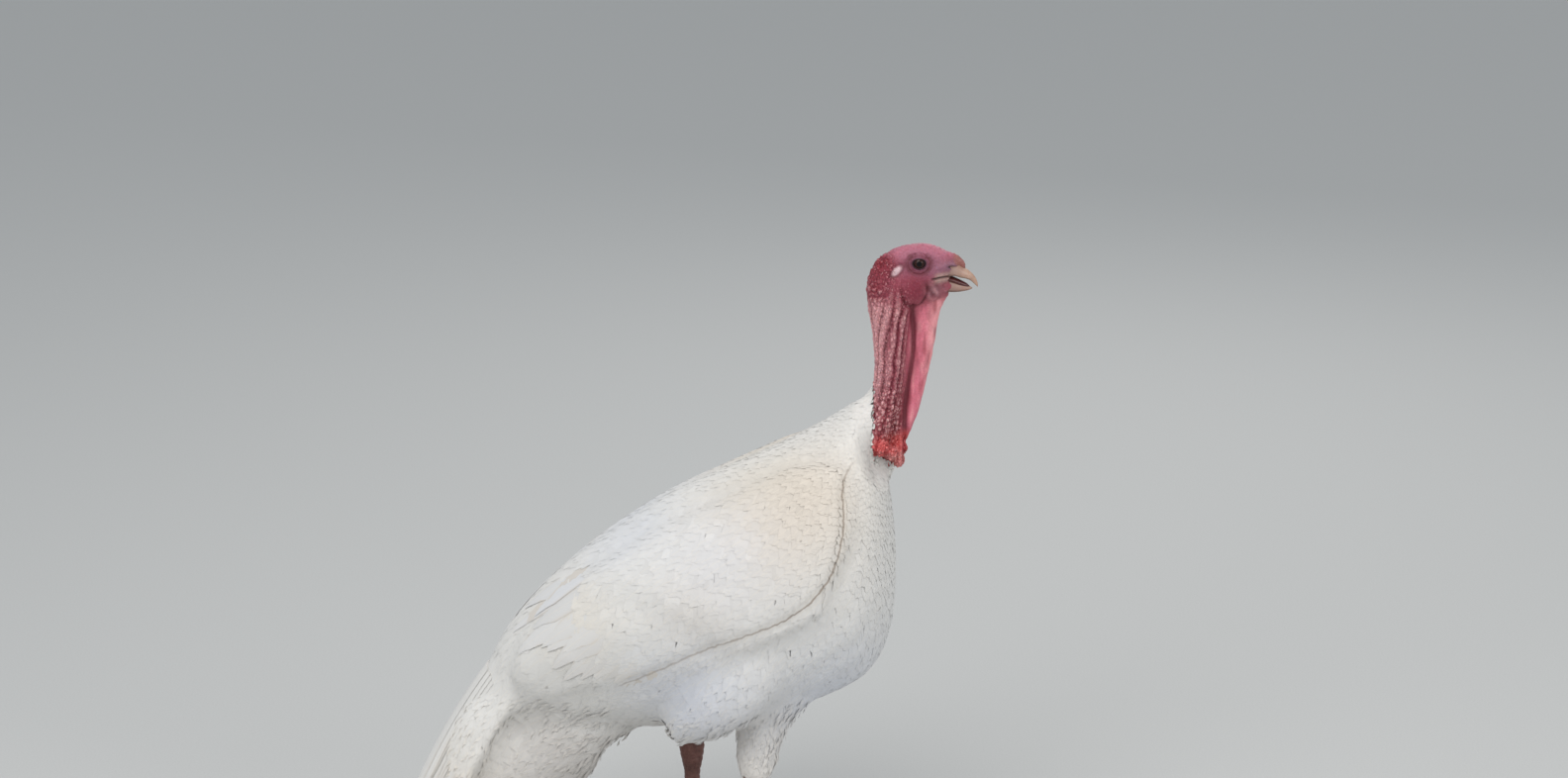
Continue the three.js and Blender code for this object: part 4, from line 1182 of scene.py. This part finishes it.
class Feathers:
    """Feathers gathered for one piece. CALM is how far they shade as the even body under them,
    PATCH the width of each one's patch on the unwrap."""

    def __init__(self, name):
        self.name, self.count = name, 0
        self.points, self.faces, self.normals = [], [], []
        self.tints, self.seams, self.vanes, self.bakes = [], [], [], []

    def lay(self, roots, length, width, rows=5, columns=4, sink=3.4, tip=0.05, arch=0.013, round_tip=0.2,
            fray=0.06, yaw=6.0, roll=0.0, over=0.0, loose=0.06, aim=lie, base=0.35, full=0.6, end=0.42,
            tone=1.0, rim=0.0, surface=None):
        """Lays feathers with their roots at points on the body form, or on another surface. All
        of these may be one number for each feather, in millimetres: length, width, sink (how deep
        the root lies), tip and loose (how far the tip stands up, and how unevenly), over (height
        of the whole vane) and roll. arch is the bow across and fray the raggedness of the tip, as
        shares of the width and length; base, full and end shape the outline from root to tip."""
        surface = surface or form
        n = len(roots)
        length, width, sink, tip, roll, over = (np.broadcast_to(np.asarray(q, float), (n,)) * MM for q in (
            length, width, sink, tip, roll, over))
        length = length * (1 + 0.09 * rng.standard_normal(n).clip(-2, 2))
        width = width * (1 + 0.06 * rng.standard_normal(n).clip(-2, 2))
        sink = sink * np.clip(length / (28 * MM), 0.25, 1)
        tip = tip + np.asarray(loose) * MM * np.abs(rng.standard_normal(n))
        turn = np.radians(yaw) * rng.standard_normal(n).clip(-2, 2)
        s = np.linspace(0, 1, rows + 1) ** 0.9
        t = np.linspace(-1, 1, columns + 1)
        half = np.interp(s, [0, 0.3, full, 0.86, 1], [base, 0.82, 1, 0.9, end]) / 2
        here, up = surface.nearest(roots)
        grid = np.empty((n, rows + 1, columns + 1, 3))
        skyward = np.empty_like(grid)
        ragged = fray * (rng.random((n, columns + 1)) - 0.75)
        for k in range(rows + 1):
            ahead = aim(here)
            ahead = unit(ahead - up * (ahead * up).sum(1, keepdims=True))
            across = np.cross(up, ahead)
            ahead, across = (ahead * np.cos(turn)[:, None] + across * np.sin(turn)[:, None],
                             across * np.cos(turn)[:, None] - ahead * np.sin(turn)[:, None])
            back = round_tip * t**2 * s[k] ** 4
            offset = (ragged * s[k] ** 6 - back[None]) * length[:, None]
            flat = (here[:, None] + across[:, None] * (t * half[k])[None, :, None] * width[:, None, None]
                    + ahead[:, None] * offset[..., None])
            at, normal = surface.nearest(flat)
            rise = -sink * (1 - s[k]) ** 1.6 + tip * s[k] ** 2 + over
            bow = arch * width * (0.4 + 0.6 * s[k]) * (1 - 0.8 * s[k] ** 4) + THICKNESS
            rise = rise[:, None] + roll[:, None] * t + bow[:, None] * (1 - t**2)
            grid[:, k] = at + normal * rise[..., None]
            skyward[:, k] = normal
            if k < rows:
                here, up = surface.nearest(here + ahead * (length * (s[k + 1] - s[k]))[:, None])
        faces = vane_faces(rows, columns)
        per = (rows + 1) * (columns + 1)
        self.points.append(grid.reshape(-1, 3))
        self.normals.append(skyward.reshape(-1, 3))
        self.faces.append((faces[None] + (np.arange(n) * per)[:, None, None]).reshape(-1, 3) + self.count)
        self.count += n * per
        # shade: each feather's random tone times its tone argument; towards its root each feather is painted
        # up to 5% darker, as the shade under the feathers that cover it
        shade = (1 + 0.02 * rng.standard_normal(n))[:, None] * np.broadcast_to(tone, (n,))[:, None]
        shade = shade * (0.95 + 0.05 * smoothstep(0.1, 0.75, s))[None]
        tint = np.broadcast_to(plumage_tint(roots)[:, None, None] * shade[:, :, None, None], grid.shape)
        tint = tint.reshape(-1, 3)
        self.seams.append(np.stack(crease_shadow_at(grid.reshape(-1, 3)), 1))
        # rim paints the outer edges brownish: partly their own darker edge, partly painted shadow where the
        # feathers overlap
        if rim:
            edge = np.abs(t) ** 6 * smoothstep(0.3, 0.5, s)[:, None]
            edge = np.broadcast_to(edge, grid.shape[:3]).reshape(-1)
            tint = blend(tint, linear(196, 180, 158), rim * edge)
        self.tints.append(tint)
        vane = np.empty((n, rows + 1, columns + 1, 2))
        vane[..., 0] = t[None, None] * half[None, :, None] * (width / MM / 100)[:, None, None]
        vane[..., 1] = s[None, :, None] * (length / MM / 100)[:, None, None]
        self.vanes.append(vane.reshape(-1, 2))
        patch = unwrapped(roots)[:, None, None] + PATCH * np.stack(np.broadcast_arrays(
            (t / 2)[None], (s - 0.5)[:, None]), -1)[None]
        self.bakes.append(np.broadcast_to(patch, vane.shape).reshape(-1, 2))

    def made(self):
        """The gathered feathers as one object with its colours, maps and calmed normals."""
        piece = mesh_object(self.name, np.concatenate(self.points), np.concatenate(self.faces))
        mesh = piece.data
        mesh.polygons.foreach_set("use_smooth", np.ones(len(mesh.polygons), bool))
        mesh.set_sharp_from_angle(angle=math.radians(62))
        tinted(mesh, np.concatenate(self.tints))
        for name, values in zip(("seam", "crease_shadow_strength"), np.concatenate(self.seams).T):
            measured(mesh, name, values)
        corners = np.empty(len(mesh.loops), np.int32)
        mesh.loops.foreach_get("vertex_index", corners)
        own = np.empty(len(mesh.loops) * 3, np.float32)
        mesh.corner_normals.foreach_get("vector", own)
        own = own.reshape(-1, 3)
        body = np.concatenate(self.normals)[corners]
        facing = (own * body).sum(1, keepdims=True)
        soft = unit(own * (1 - CALM) + body * CALM * np.sign(facing))
        mesh.normals_split_custom_set(np.where(np.abs(facing) > 0.3, soft, own).tolist())
        for name, values in (("OFBake", self.bakes), ("Vane", self.vanes)):
            layer = mesh.uv_layers.new(name=name)
            layer.uv.foreach_set("vector", np.concatenate(values)[corners].astype(np.float32).ravel())
        return piece


def unwrapped(points):
    """Place of each root on an unwrap of the skin: the body as a tube from neck to tail, and
    each leg as a tube of its own above it."""
    p = (points - BODY_START) / MM
    axis = unit(np.array((0.74, 0.0, 0.67)))
    rise = np.array((-axis[2], 0, axis[0]))
    rel = p - np.array((-60, 0, 330))
    along, above = rel @ axis, rel @ rise
    around = np.arctan2(p[:, 1], above) / (2 * math.pi) + 0.5
    body = np.stack([0.02 + 0.96 * around, 0.02 + 0.76 * np.clip((along + 420) / 780, 0, 1)], 1)
    on_leg = p[:, 2] < 205
    on_leg &= (np.abs(np.abs(p[:, 1]) - 70) < 34) & (p[:, 0] > -75) & (p[:, 0] < 80)
    middle_x = np.where(p[:, 1] < 0, 28, -40)
    leg_around = np.arctan2(np.abs(p[:, 1]) - 70, p[:, 0] - middle_x) / (2 * math.pi) + 0.5
    leg = np.stack([np.where(p[:, 1] < 0, 0.02, 0.52) + 0.44 * leg_around,
                    0.82 + 0.15 * np.clip((p[:, 2] - 140) / 65, 0, 1)], 1)
    return np.where(on_leg[:, None], leg, body)


def feather_paint(name, warmth):
    """White vanes: fine slanting barbs each side of a shaft, softer and brighter at the edge."""
    paint = Paint(name, IOR=1.45, Specular_IOR_Level=0.3, Sheen_Weight=0.12, Sheen_Roughness=0.5)
    place = paint.node("ShaderNodeUVMap", {"uv_map": "Vane"})
    across = paint.node("ShaderNodeSeparateXYZ", None, 0, Vector=place)
    along = paint.node("ShaderNodeSeparateXYZ", None, 1, Vector=place)
    out = paint.node("ShaderNodeMath", {"operation": "ABSOLUTE"}, _0=across)
    waver = paint.noise(70, 2)
    slant = (along - out * 1.15 + waver * 0.012) * 460.0
    barb = paint.node("ShaderNodeMath", {"operation": "SINE"}, _0=slant)
    shaft = paint.spread(out, 0.0, 0.009, 1.0, 0.0)
    broad = paint.noise(28, 3)
    tone = paint.mix(paint.spread(barb, -1.0, 1.0, 0.04, 0.0), paint.attribute("tint"), rgba(*warmth))
    tone = paint.mix(paint.spread(broad, 0.42, 0.75, 0.0, 0.06), tone, rgba(206, 196, 180))
    tone = paint.mix(shaft * 0.22, tone, rgba(226, 214, 196))
    # painted shadow: a soft brownish band and a thin dark line along the crease where the wing's front edge
    # tucks under the breast
    off = paint.attribute("seam", 2) + (paint.noise(110, 2) - 0.5) * 5.0
    off = paint.node("ShaderNodeMath", {"operation": "ABSOLUTE"}, _0=off)
    depth = paint.attribute("crease_shadow_strength", 2)
    tone = paint.mix(paint.spread(off, 0.6, 8.0, 0.16, 0.0) * depth, tone, rgba(186, 172, 154))
    tone = paint.mix(paint.spread(off, 0.3, 1.7, 0.7, 0.0) * depth, tone, rgba(122, 104, 88))
    return paint.finish(Base_Color=tone, Roughness=paint.spread(broad, 0.3, 0.8, 0.62, 0.82),
                        Normal=paint.bump(barb * 0.3 + shaft * 1.3, 0.0002, 0.35))


# ---- Body, wing and leg coverts ----------------------------------------------------------------
# Small close feathers at the collar, broad flat ones over breast, back and wings, long loose
# ones on flank and vent, narrow ones down the thigh.

LOBES_ON_BREAST = ((158, 25, 517, 7), (152, 24, 523, 4), (169, 21, 511, 4), (177, 14, 502, 3))
FLIGHT_AREA = np.array([(-120, 420), (-150, 392), (-180, 362), (-205, 330), (-196, 311), (-160, 292),
                        (-118, 280), (-104, 282), (-122, 306), (-150, 342), (-142, 384)])


def is_bared(place):
    """Which places on the body form bear no feathers: beyond the collar and under the lobes."""
    nape_end = 528
    collar_x, collar_z = spline(COLLAR, np.linspace(0, 1, 80)).T
    throat = collar_z < nape_end
    over_throat = place[:, 2] > np.interp(place[:, 0], collar_x[throat], collar_z[throat]) + 1
    beyond = np.where(place[:, 2] < nape_end, over_throat, place[:, 0] > 150) & (place[:, 0] > 140)
    in_lobes = np.zeros(len(place), bool)
    for x, y, z, radius in LOBES_ON_BREAST:
        in_lobes |= np.linalg.norm(np.abs(place) - (x, y, z), axis=1) < radius
    return beyond | in_lobes | (place[:, 2] > 600)


candidates = scattered(150000)
candidates = candidates[~is_bared((candidates - BODY_START) / MM)]
place = (candidates - BODY_START) / MM
from_collar = off_line(place, COLLAR)[0]
kind = zones_at(candidates)
kind[inside(FLIGHT_AREA, place[:, [0, 2]]) & (np.abs(place[:, 1]) > 34)] = "under_flight"
kind[np.isin(kind, ("wing_secondaries", "wing_primaries"))] = "wing_coverts"
grown = smoothstep(-8, 120, from_collar)
leg_low = smoothstep(215, 160, place[:, 2])
back = smoothstep(110, -60, place[:, 0])
rear = smoothstep(-120, -230, place[:, 0])
belly = smoothstep(280, 225, place[:, 2])
KINDS = ("trunk", "wing_coverts", "flank", "drumstick", "vent", "tail")


def shares_of_kinds(spacing=11, neighbours=12):
    """How much each candidate belongs to each kind, counted among its neighbours so that sizes
    change gently."""
    samples = thinned(candidates, np.full(len(candidates), spacing * MM))
    tree = kdtree.KDTree(len(samples))
    for i, sample in enumerate(samples):
        tree.insert(candidates[sample], i)
    tree.balance()
    plain = np.where(kind == "under_flight", "wing_coverts", kind)
    belongs = (plain[samples][:, None] == np.array(KINDS)).astype(float)
    return np.array([belongs[[k for _, k, _ in tree.find_n(p, neighbours)]].mean(0) for p in candidates])


share = shares_of_kinds()


def by_kind(*values):
    """A measure that has one value for each of KINDS and blends where they meet."""
    return sum(share[:, k] * value for k, value in enumerate(values))


# Size, spacing and lie of each feather in millimetres, from small ones at the collar to full ones.
even_length, even_width = 10 + 26 * grown + 8 * back, 6 + 15 * grown + 3 * back
even_spacing = 2.3 + 3.0 * grown + 0.9 * back
length = by_kind(even_length + 10 * rear + 4 * belly, even_length, 44, 32 - 13 * leg_low, 52, 58)
width = by_kind(even_width + 2 * rear, even_width, 17, 12 - 3 * leg_low, 18, 24)
spacing = by_kind(even_spacing + 0.6 * rear, even_spacing, 4.9, 4.4 - 1.2 * leg_low, 5.2, 6.4)
sink = by_kind(2.6, 2.6, 3.2, 2.8, 3.6, 2.8) - 0.6 * smoothstep(50, 10, from_collar)
tip = by_kind(0.0, 0.0, 0.1, 0.1, 0.15, 0.0)
loose = by_kind(0.05, 0.05, 0.16, 0.16, 0.2, 0.06)
spacing[kind == "under_flight"], width[kind == "under_flight"] = 10, 26

# Breast and flank feathers end where they meet the wing, and are smaller and closer there.
on_flank = np.abs(place[:, 1]) > 30
from_wing, _, behind_wing = off_line(place, WING_FRONT)
ahead = ~inside(WING_OUTLINE, place[:, [0, 2]]) & (from_wing < off_line(place, WING_TOP)[0])
flow = lie(candidates)
for reach in np.arange(4.0, 60.0, 2.0):
    reached = inside(WING_OUTLINE, (place + flow * reach)[:, [0, 2]])
    short = on_flank & ahead & reached & (place[:, 0] > -60) & (place[:, 2] < 500)
    length = np.where(short, np.minimum(length, max(reach, 9.0)), length)
    ahead &= ~reached
near_wing = smoothstep(30, 8, from_wing) * on_flank * smoothstep(-150, -60, place[:, 0])
spacing = spacing * (1 - near_wing) + np.minimum(spacing, 4.0) * near_wing
width = width * (1 - near_wing) + np.minimum(width, 12) * near_wing

kept = thinned(candidates, spacing * MM)
roots = candidates[kept]
own = {name: values[kept] for name, values in dict(
    length=length, width=width, sink=sink, tip=tip, loose=loose, over=0.5 * near_wing,
    kind=kind, x=place[:, 0], y=place[:, 1]).items()}
white = feather_paint("white_feather", (214, 208, 200))


def coat(name, chosen, slot, *nodes, **shape):
    """A piece of the chosen feathers in their own sizes; shape says what else differs."""
    sizes = {key: own[key][chosen] for key in ("length", "width", "sink", "tip", "loose")}
    feathers = Feathers(name)
    feathers.lay(roots[chosen], **sizes, **shape)
    dressed(feathers.made(), white, slot, *nodes)


def sparse(points, spacing):
    """Those of the points that stay when all keep one spacing in millimetres."""
    return points[thinned(points, np.full(len(points), spacing * MM))]


for side, sign in SIDES.items():
    chosen = (own["kind"] == "trunk") & (own["x"] > 62) & (own["y"] * sign > 0)
    coat(f"breast_feathers_{side}", chosen, "body_feather", over=own["over"][chosen])
chosen = (own["kind"] == "trunk") & (own["x"] <= 62)
coat("back_and_belly_feathers", chosen, "body_feather", over=own["over"][chosen])
for side, sign in SIDES.items():
    mine = own["y"] * sign > 0
    coat(f"wing_coverts_plumage_{side}", mine & (own["kind"] == "wing_coverts"), "wing_feather",
         f"wing_coverts_{side}")
    chosen = mine & (own["kind"] == "flank")
    coat(f"flank_plumage_{side}", chosen, "body_feather", f"flank_{side}",
         over=own["over"][chosen], fray=0.10, yaw=9.0, arch=0.015, rows=6, round_tip=0.3)
    coat(f"thigh_plumage_{side}", mine & (own["kind"] == "drumstick"), "body_feather",
         fray=0.12, yaw=9.0, round_tip=0.28)
    # wing feathers that pass under others: under the flight feathers, and from under the breast
    under = Feathers(f"wing_under_plumage_{side}")
    chosen = mine & (own["kind"] == "under_flight")
    under.lay(roots[chosen], own["length"][chosen], own["width"][chosen], sink=4.0, tip=-1.2)
    tucked = on_flank & (from_wing < 13) & (behind_wing < 0) & (place[:, 1] * sign > 0) & (place[:, 2] < 506)
    under.lay(sparse(candidates[tucked], 4.4), 28, 13, sink=1.5, over=-0.6)
    dressed(under.made(), white, "wing_feather")
coat("vent_plumage", own["kind"] == "vent", "body_feather", "vent", fray=0.12, yaw=11.0,
     arch=0.015, rows=6, round_tip=0.3)
# fine loose ends that break up the outline of the softest plumage
softest = np.isin(kind, ("vent", "flank", "drumstick")) | (belly > 0.5) & (rear > 0)
softest &= ~((kind == "flank") & (place[:, 2] > 256))
on_thigh = kind == "drumstick"
gaps = np.where(on_thigh, 6.0, 7.5) * MM
ends = np.flatnonzero(softest)[thinned(candidates[softest], gaps[softest])]
hanging = smoothstep(0.2, -0.7, form.nearest(candidates[ends])[1][:, 2])
wisps = Feathers("wisps")
wisps.lay(candidates[ends], np.where(on_thigh[ends], 18, 26), 4.5, rows=4, columns=2, sink=2.0,
          tip=0.3 + 1.4 * hanging, loose=0.4 + 1.0 * hanging, yaw=18.0, arch=0.03, end=0.16, full=0.4)
dressed(wisps.made(), white, "body_feather")
# short down on the neck's skin where the feathers begin
sheath = Surface(skin)
edge = candidates[(from_collar < 12) & (np.abs(place[:, 2] - 545) < 70) & (place[:, 0] < 178)]
collar_down = Feathers("collar_down")
collar_down.lay(sheath.nearest(sparse(edge, 2.3))[0], 12, 6, rows=4, columns=2, sink=0.6, tip=2.2,
                loose=0.6, yaw=12.0, fray=0.1, surface=sheath)
dressed(collar_down.made(), white, "body_feather")
# a bed of broad down under all other feathers, narrower towards the collar
bed = np.flatnonzero(from_collar > 7)
broad = np.clip(from_collar[bed] * 0.9, 9, 30)
laid = thinned(candidates[bed], np.clip(broad * 0.37 - 2, 2, 9.5) * MM)
down = Feathers("down")
down.lay(candidates[bed[laid]], broad[laid], broad[laid] * 0.87, columns=3, sink=2.5, tip=-2.6,
         loose=0.0, yaw=20.0, end=0.8)
dressed(down.made(), white, "body_feather")
# coverts over the root of the tail and all of its underside
facing_up = form.nearest(roots)[1][:, 2]
chosen = (own["kind"] == "tail") & ((own["x"] > -300) | (facing_up < 0.1))
coat("tail_coverts", chosen, "tail_feather", fray=0.08)

# ---- Flight feathers ---------------------------------------------------------------------------
# Long stiff feathers of the folded wing. The upper ones overlap the lower ones, each showing
# only a strip along its outer edge, and their roots are sunk in the coverts.

# Lines across the folded wing in side view, top to bottom, millimetres on the body.
SECONDARY_ROOTS = [(-84, 438), (-62, 410), (-40, 382)]
SECONDARY_TIPS = [(-229, 342), (-208, 314), (-170, 292), (-125, 272)]
PRIMARY_ROOTS = [(30, 350), (14, 338)]
PRIMARY_TIPS = [(-134, 264), (-122, 257)]


def places_on_side(rows, count, side):
    """Places on the body's flank, met from the side, along a line in side view."""
    line = spline(rows, (np.arange(count) + 0.5) / count)
    places = np.stack([line[:, 0], np.full(count, side * 100.0), line[:, 1]], 1) * MM + BODY_START
    for start in places:
        met = form.tree.ray_cast(Vector(start + (0, side * 0.2, 0)), Vector((0, -side, 0)))[0]
        start[1] = side * 48 * MM
        start[:] = form.tree.find_nearest(Vector(start))[0] if met is None else met
    return places


def towards(targets):
    """Aims each feather along the wing at a point well beyond its tip."""
    return lambda points: unit(targets - points)


PRIMARIES, SECONDARIES = 5, 15
# painted shade: tone 0.97 makes the flight feathers a little darker, like the shaded coverts around them
STIFF = dict(rows=20, columns=8, sink=3.0, arch=0.012, round_tip=0.12, yaw=0.8, base=0.6, tone=0.97)
rank = (np.arange(SECONDARIES) + 0.5) / SECONDARIES
for side, sign in SIDES.items():
    primary = dict(width=26, tip=0.3, over=-0.5, roll=-sign * 0.2, end=0.45, rim=0.3)
    secondary = dict(width=28, tip=0.1 + 0.5 * np.clip(1 - 4 * rank, 0, 1), over=-0.1 + 0.35 * (1 - rank),
                     roll=-sign * 0.1, end=0.5, rim=0.4, fray=0.04)
    flight = Feathers(f"flight_feathers_{side}")
    for count, root_line, tip_line, shape in (
            (PRIMARIES, PRIMARY_ROOTS, PRIMARY_TIPS, primary),
            (SECONDARIES, SECONDARY_ROOTS, SECONDARY_TIPS, secondary)):
        starts, ends = places_on_side(root_line, count, sign), places_on_side(tip_line, count, sign)
        reach = np.linalg.norm(ends - starts, axis=1) / MM
        flight.lay(starts, reach, aim=towards(starts + (ends - starts) * 1.3), **STIFF, **shape)
    dressed(flight.made(), white, "wing_feather", f"wing_secondaries_{side}", f"wing_primaries_{side}")

# ---- Tail --------------------------------------------------------------------------------------
# Eighteen broad feathers folded into a low roof that bends down to a rounded end. The middle
# pair lies on top.

# The roof's ridge in side view, as a curve from its start towards its middle point to its end.
TAIL_RIDGE = [(-205, 338), (-306, 240), (-372, 58)]


class TailRoof:
    """Nearest points and normals on the roof of the tail, carried on a little past its end."""

    def __init__(self):
        u = np.linspace(-0.05, 1.12, 240)[:, None]
        a, b, c = np.array(TAIL_RIDGE, float)
        self.u = u[:, 0]
        self.ridge = a * (1 - u) ** 2 + 2 * b * u * (1 - u) + c * u**2
        self.ahead = unit(2 * (b - a) * (1 - u) + 2 * (c - b) * u)

    def drop(self, u, y):
        """How far the roof falls below its ridge, u along it and y to the side."""
        half = 48 + 30 * smoothstep(0, 0.9, u)
        return 46 * np.clip(np.abs(y) / half, 0, 1.3) ** 2 * (0.75 + 0.25 * u)

    def nearest(self, points):
        p = ((points - BODY_START) / MM).reshape(-1, 3)
        flat, y = p[:, [0, 2]], p[:, 1]
        near = np.zeros(len(p), int)
        fall = np.zeros(len(p))
        for _ in range(4):
            under = np.stack([-self.ahead[near, 1], self.ahead[near, 0]], 1)
            lifted = flat - under * fall[:, None]
            near = ((lifted[:, None] - self.ridge[None]) ** 2).sum(-1).argmin(1)
            fall = self.drop(self.u[near], y)
        ahead = self.ahead[near]
        under = np.stack([-ahead[:, 1], ahead[:, 0]], 1)
        past = ((flat - under * fall[:, None] - self.ridge[near]) * ahead).sum(1)
        at = self.ridge[near] + ahead * past[:, None] + under * fall[:, None]
        slope = 2 * fall / np.maximum(np.abs(y), 1) * np.sign(y)
        normal = unit(np.stack([-under[:, 0], slope, -under[:, 1]], 1))
        at = np.stack([at[:, 0], y, at[:, 1]], 1) * MM + BODY_START
        return at.reshape(points.shape), normal.reshape(points.shape)


roof = TailRoof()


def down_the_roof(points):
    """Along the ridge, spreading a little to the sides."""
    p = (points - BODY_START) / MM
    near = ((p[:, None, [0, 2]] - roof.ridge[None]) ** 2).sum(-1).argmin(1)
    ahead = roof.ahead[near]
    return unit(np.stack([ahead[:, 0], p[:, 1] / 75 * 0.12, ahead[:, 1]], 1))


across = np.linspace(-0.9, 0.9, 18)
starts = np.stack([np.full(len(across), -262.0), across * 52, 262 - 34 * across**2], 1) * MM + BODY_START
tail = Feathers("tail_feathers")
tail.lay(starts, 232 - 26 * across**2, 44, rows=22, columns=8, sink=2.0, tip=0.5,
         over=-1.0 + 4.0 * (1 - np.abs(across)), roll=-np.sign(across) * 1.0, rim=0.3, arch=0.015,
         round_tip=0.11, fray=0.03, yaw=0.8, base=0.7, end=0.62, surface=roof, aim=down_the_roof)
dressed(tail.made(), white, "tail_feather", "tail")

# ---- Floor, light and camera -------------------------------------------------------------------
# A pale studio floor under soft overhead light, seen from a standing person's height.


def floor_paint():
    paint = Paint("studio_floor", Specular_IOR_Level=0.15)
    grain = paint.noise(420, 3)
    tone = paint.mix(paint.spread(grain, 0.3, 0.7), rgba(186, 186, 184), rgba(192, 192, 190))
    return paint.finish(Base_Color=tone, Roughness=paint.spread(grain, 0, 1, 0.8, 0.9))


floor = mesh_object("floor", [(-12, -12, 0), (12, -12, 0), (12, 12, 0), (-12, 12, 0)], [(0, 1, 2, 3)])
floor.data.materials.append(floor_paint())

world = bpy.data.worlds.new("studio")
world.use_nodes = True
world.node_tree.nodes["Background"].inputs["Color"].default_value = (0.90, 0.95, 1.0, 1.0)
world.node_tree.nodes["Background"].inputs["Strength"].default_value = 0.64
bpy.context.scene.world = world


def soft_light(name, place, size, watts, colour, aim=(0, 0, 0.4)):
    lamp = bpy.data.lights.new(name, "AREA")
    lamp.shape, lamp.size, lamp.energy, lamp.color = "DISK", size, watts, colour
    made = bpy.data.objects.new(name, lamp)
    made.location = place
    made.rotation_mode = "QUATERNION"
    made.rotation_quaternion = (Vector(aim) - Vector(place)).to_track_quat("-Z", "Y")
    bpy.context.scene.collection.objects.link(made)


soft_light("overhead", (-0.4, -1.6, 3.0), 2.4, 50, (1.0, 0.98, 0.96))
soft_light("front_left", (-1.8, -2.8, 2.0), 1.8, 21, (0.97, 0.98, 1.0))
soft_light("front_right", (2.6, -1.9, 1.6), 1.8, 25, (1.0, 0.99, 0.98))
soft_light("behind", (0.8, 2.4, 2.0), 1.6, 14, (1.0, 0.98, 0.96))

camera = bpy.data.cameras.new("camera")
camera.sensor_width, camera.lens, camera.clip_end = 36, 90.909, 40
viewer = bpy.data.objects.new("camera", camera)
viewer.location = (BODY_START[0] + 56 * MM, -4.080, 1.692)
viewer.rotation_euler = (math.radians(90 - 15.3), 0, 0)
bpy.context.scene.collection.objects.link(viewer)
bpy.context.scene.camera = viewer
bpy.context.scene.view_settings.view_transform = "Standard"
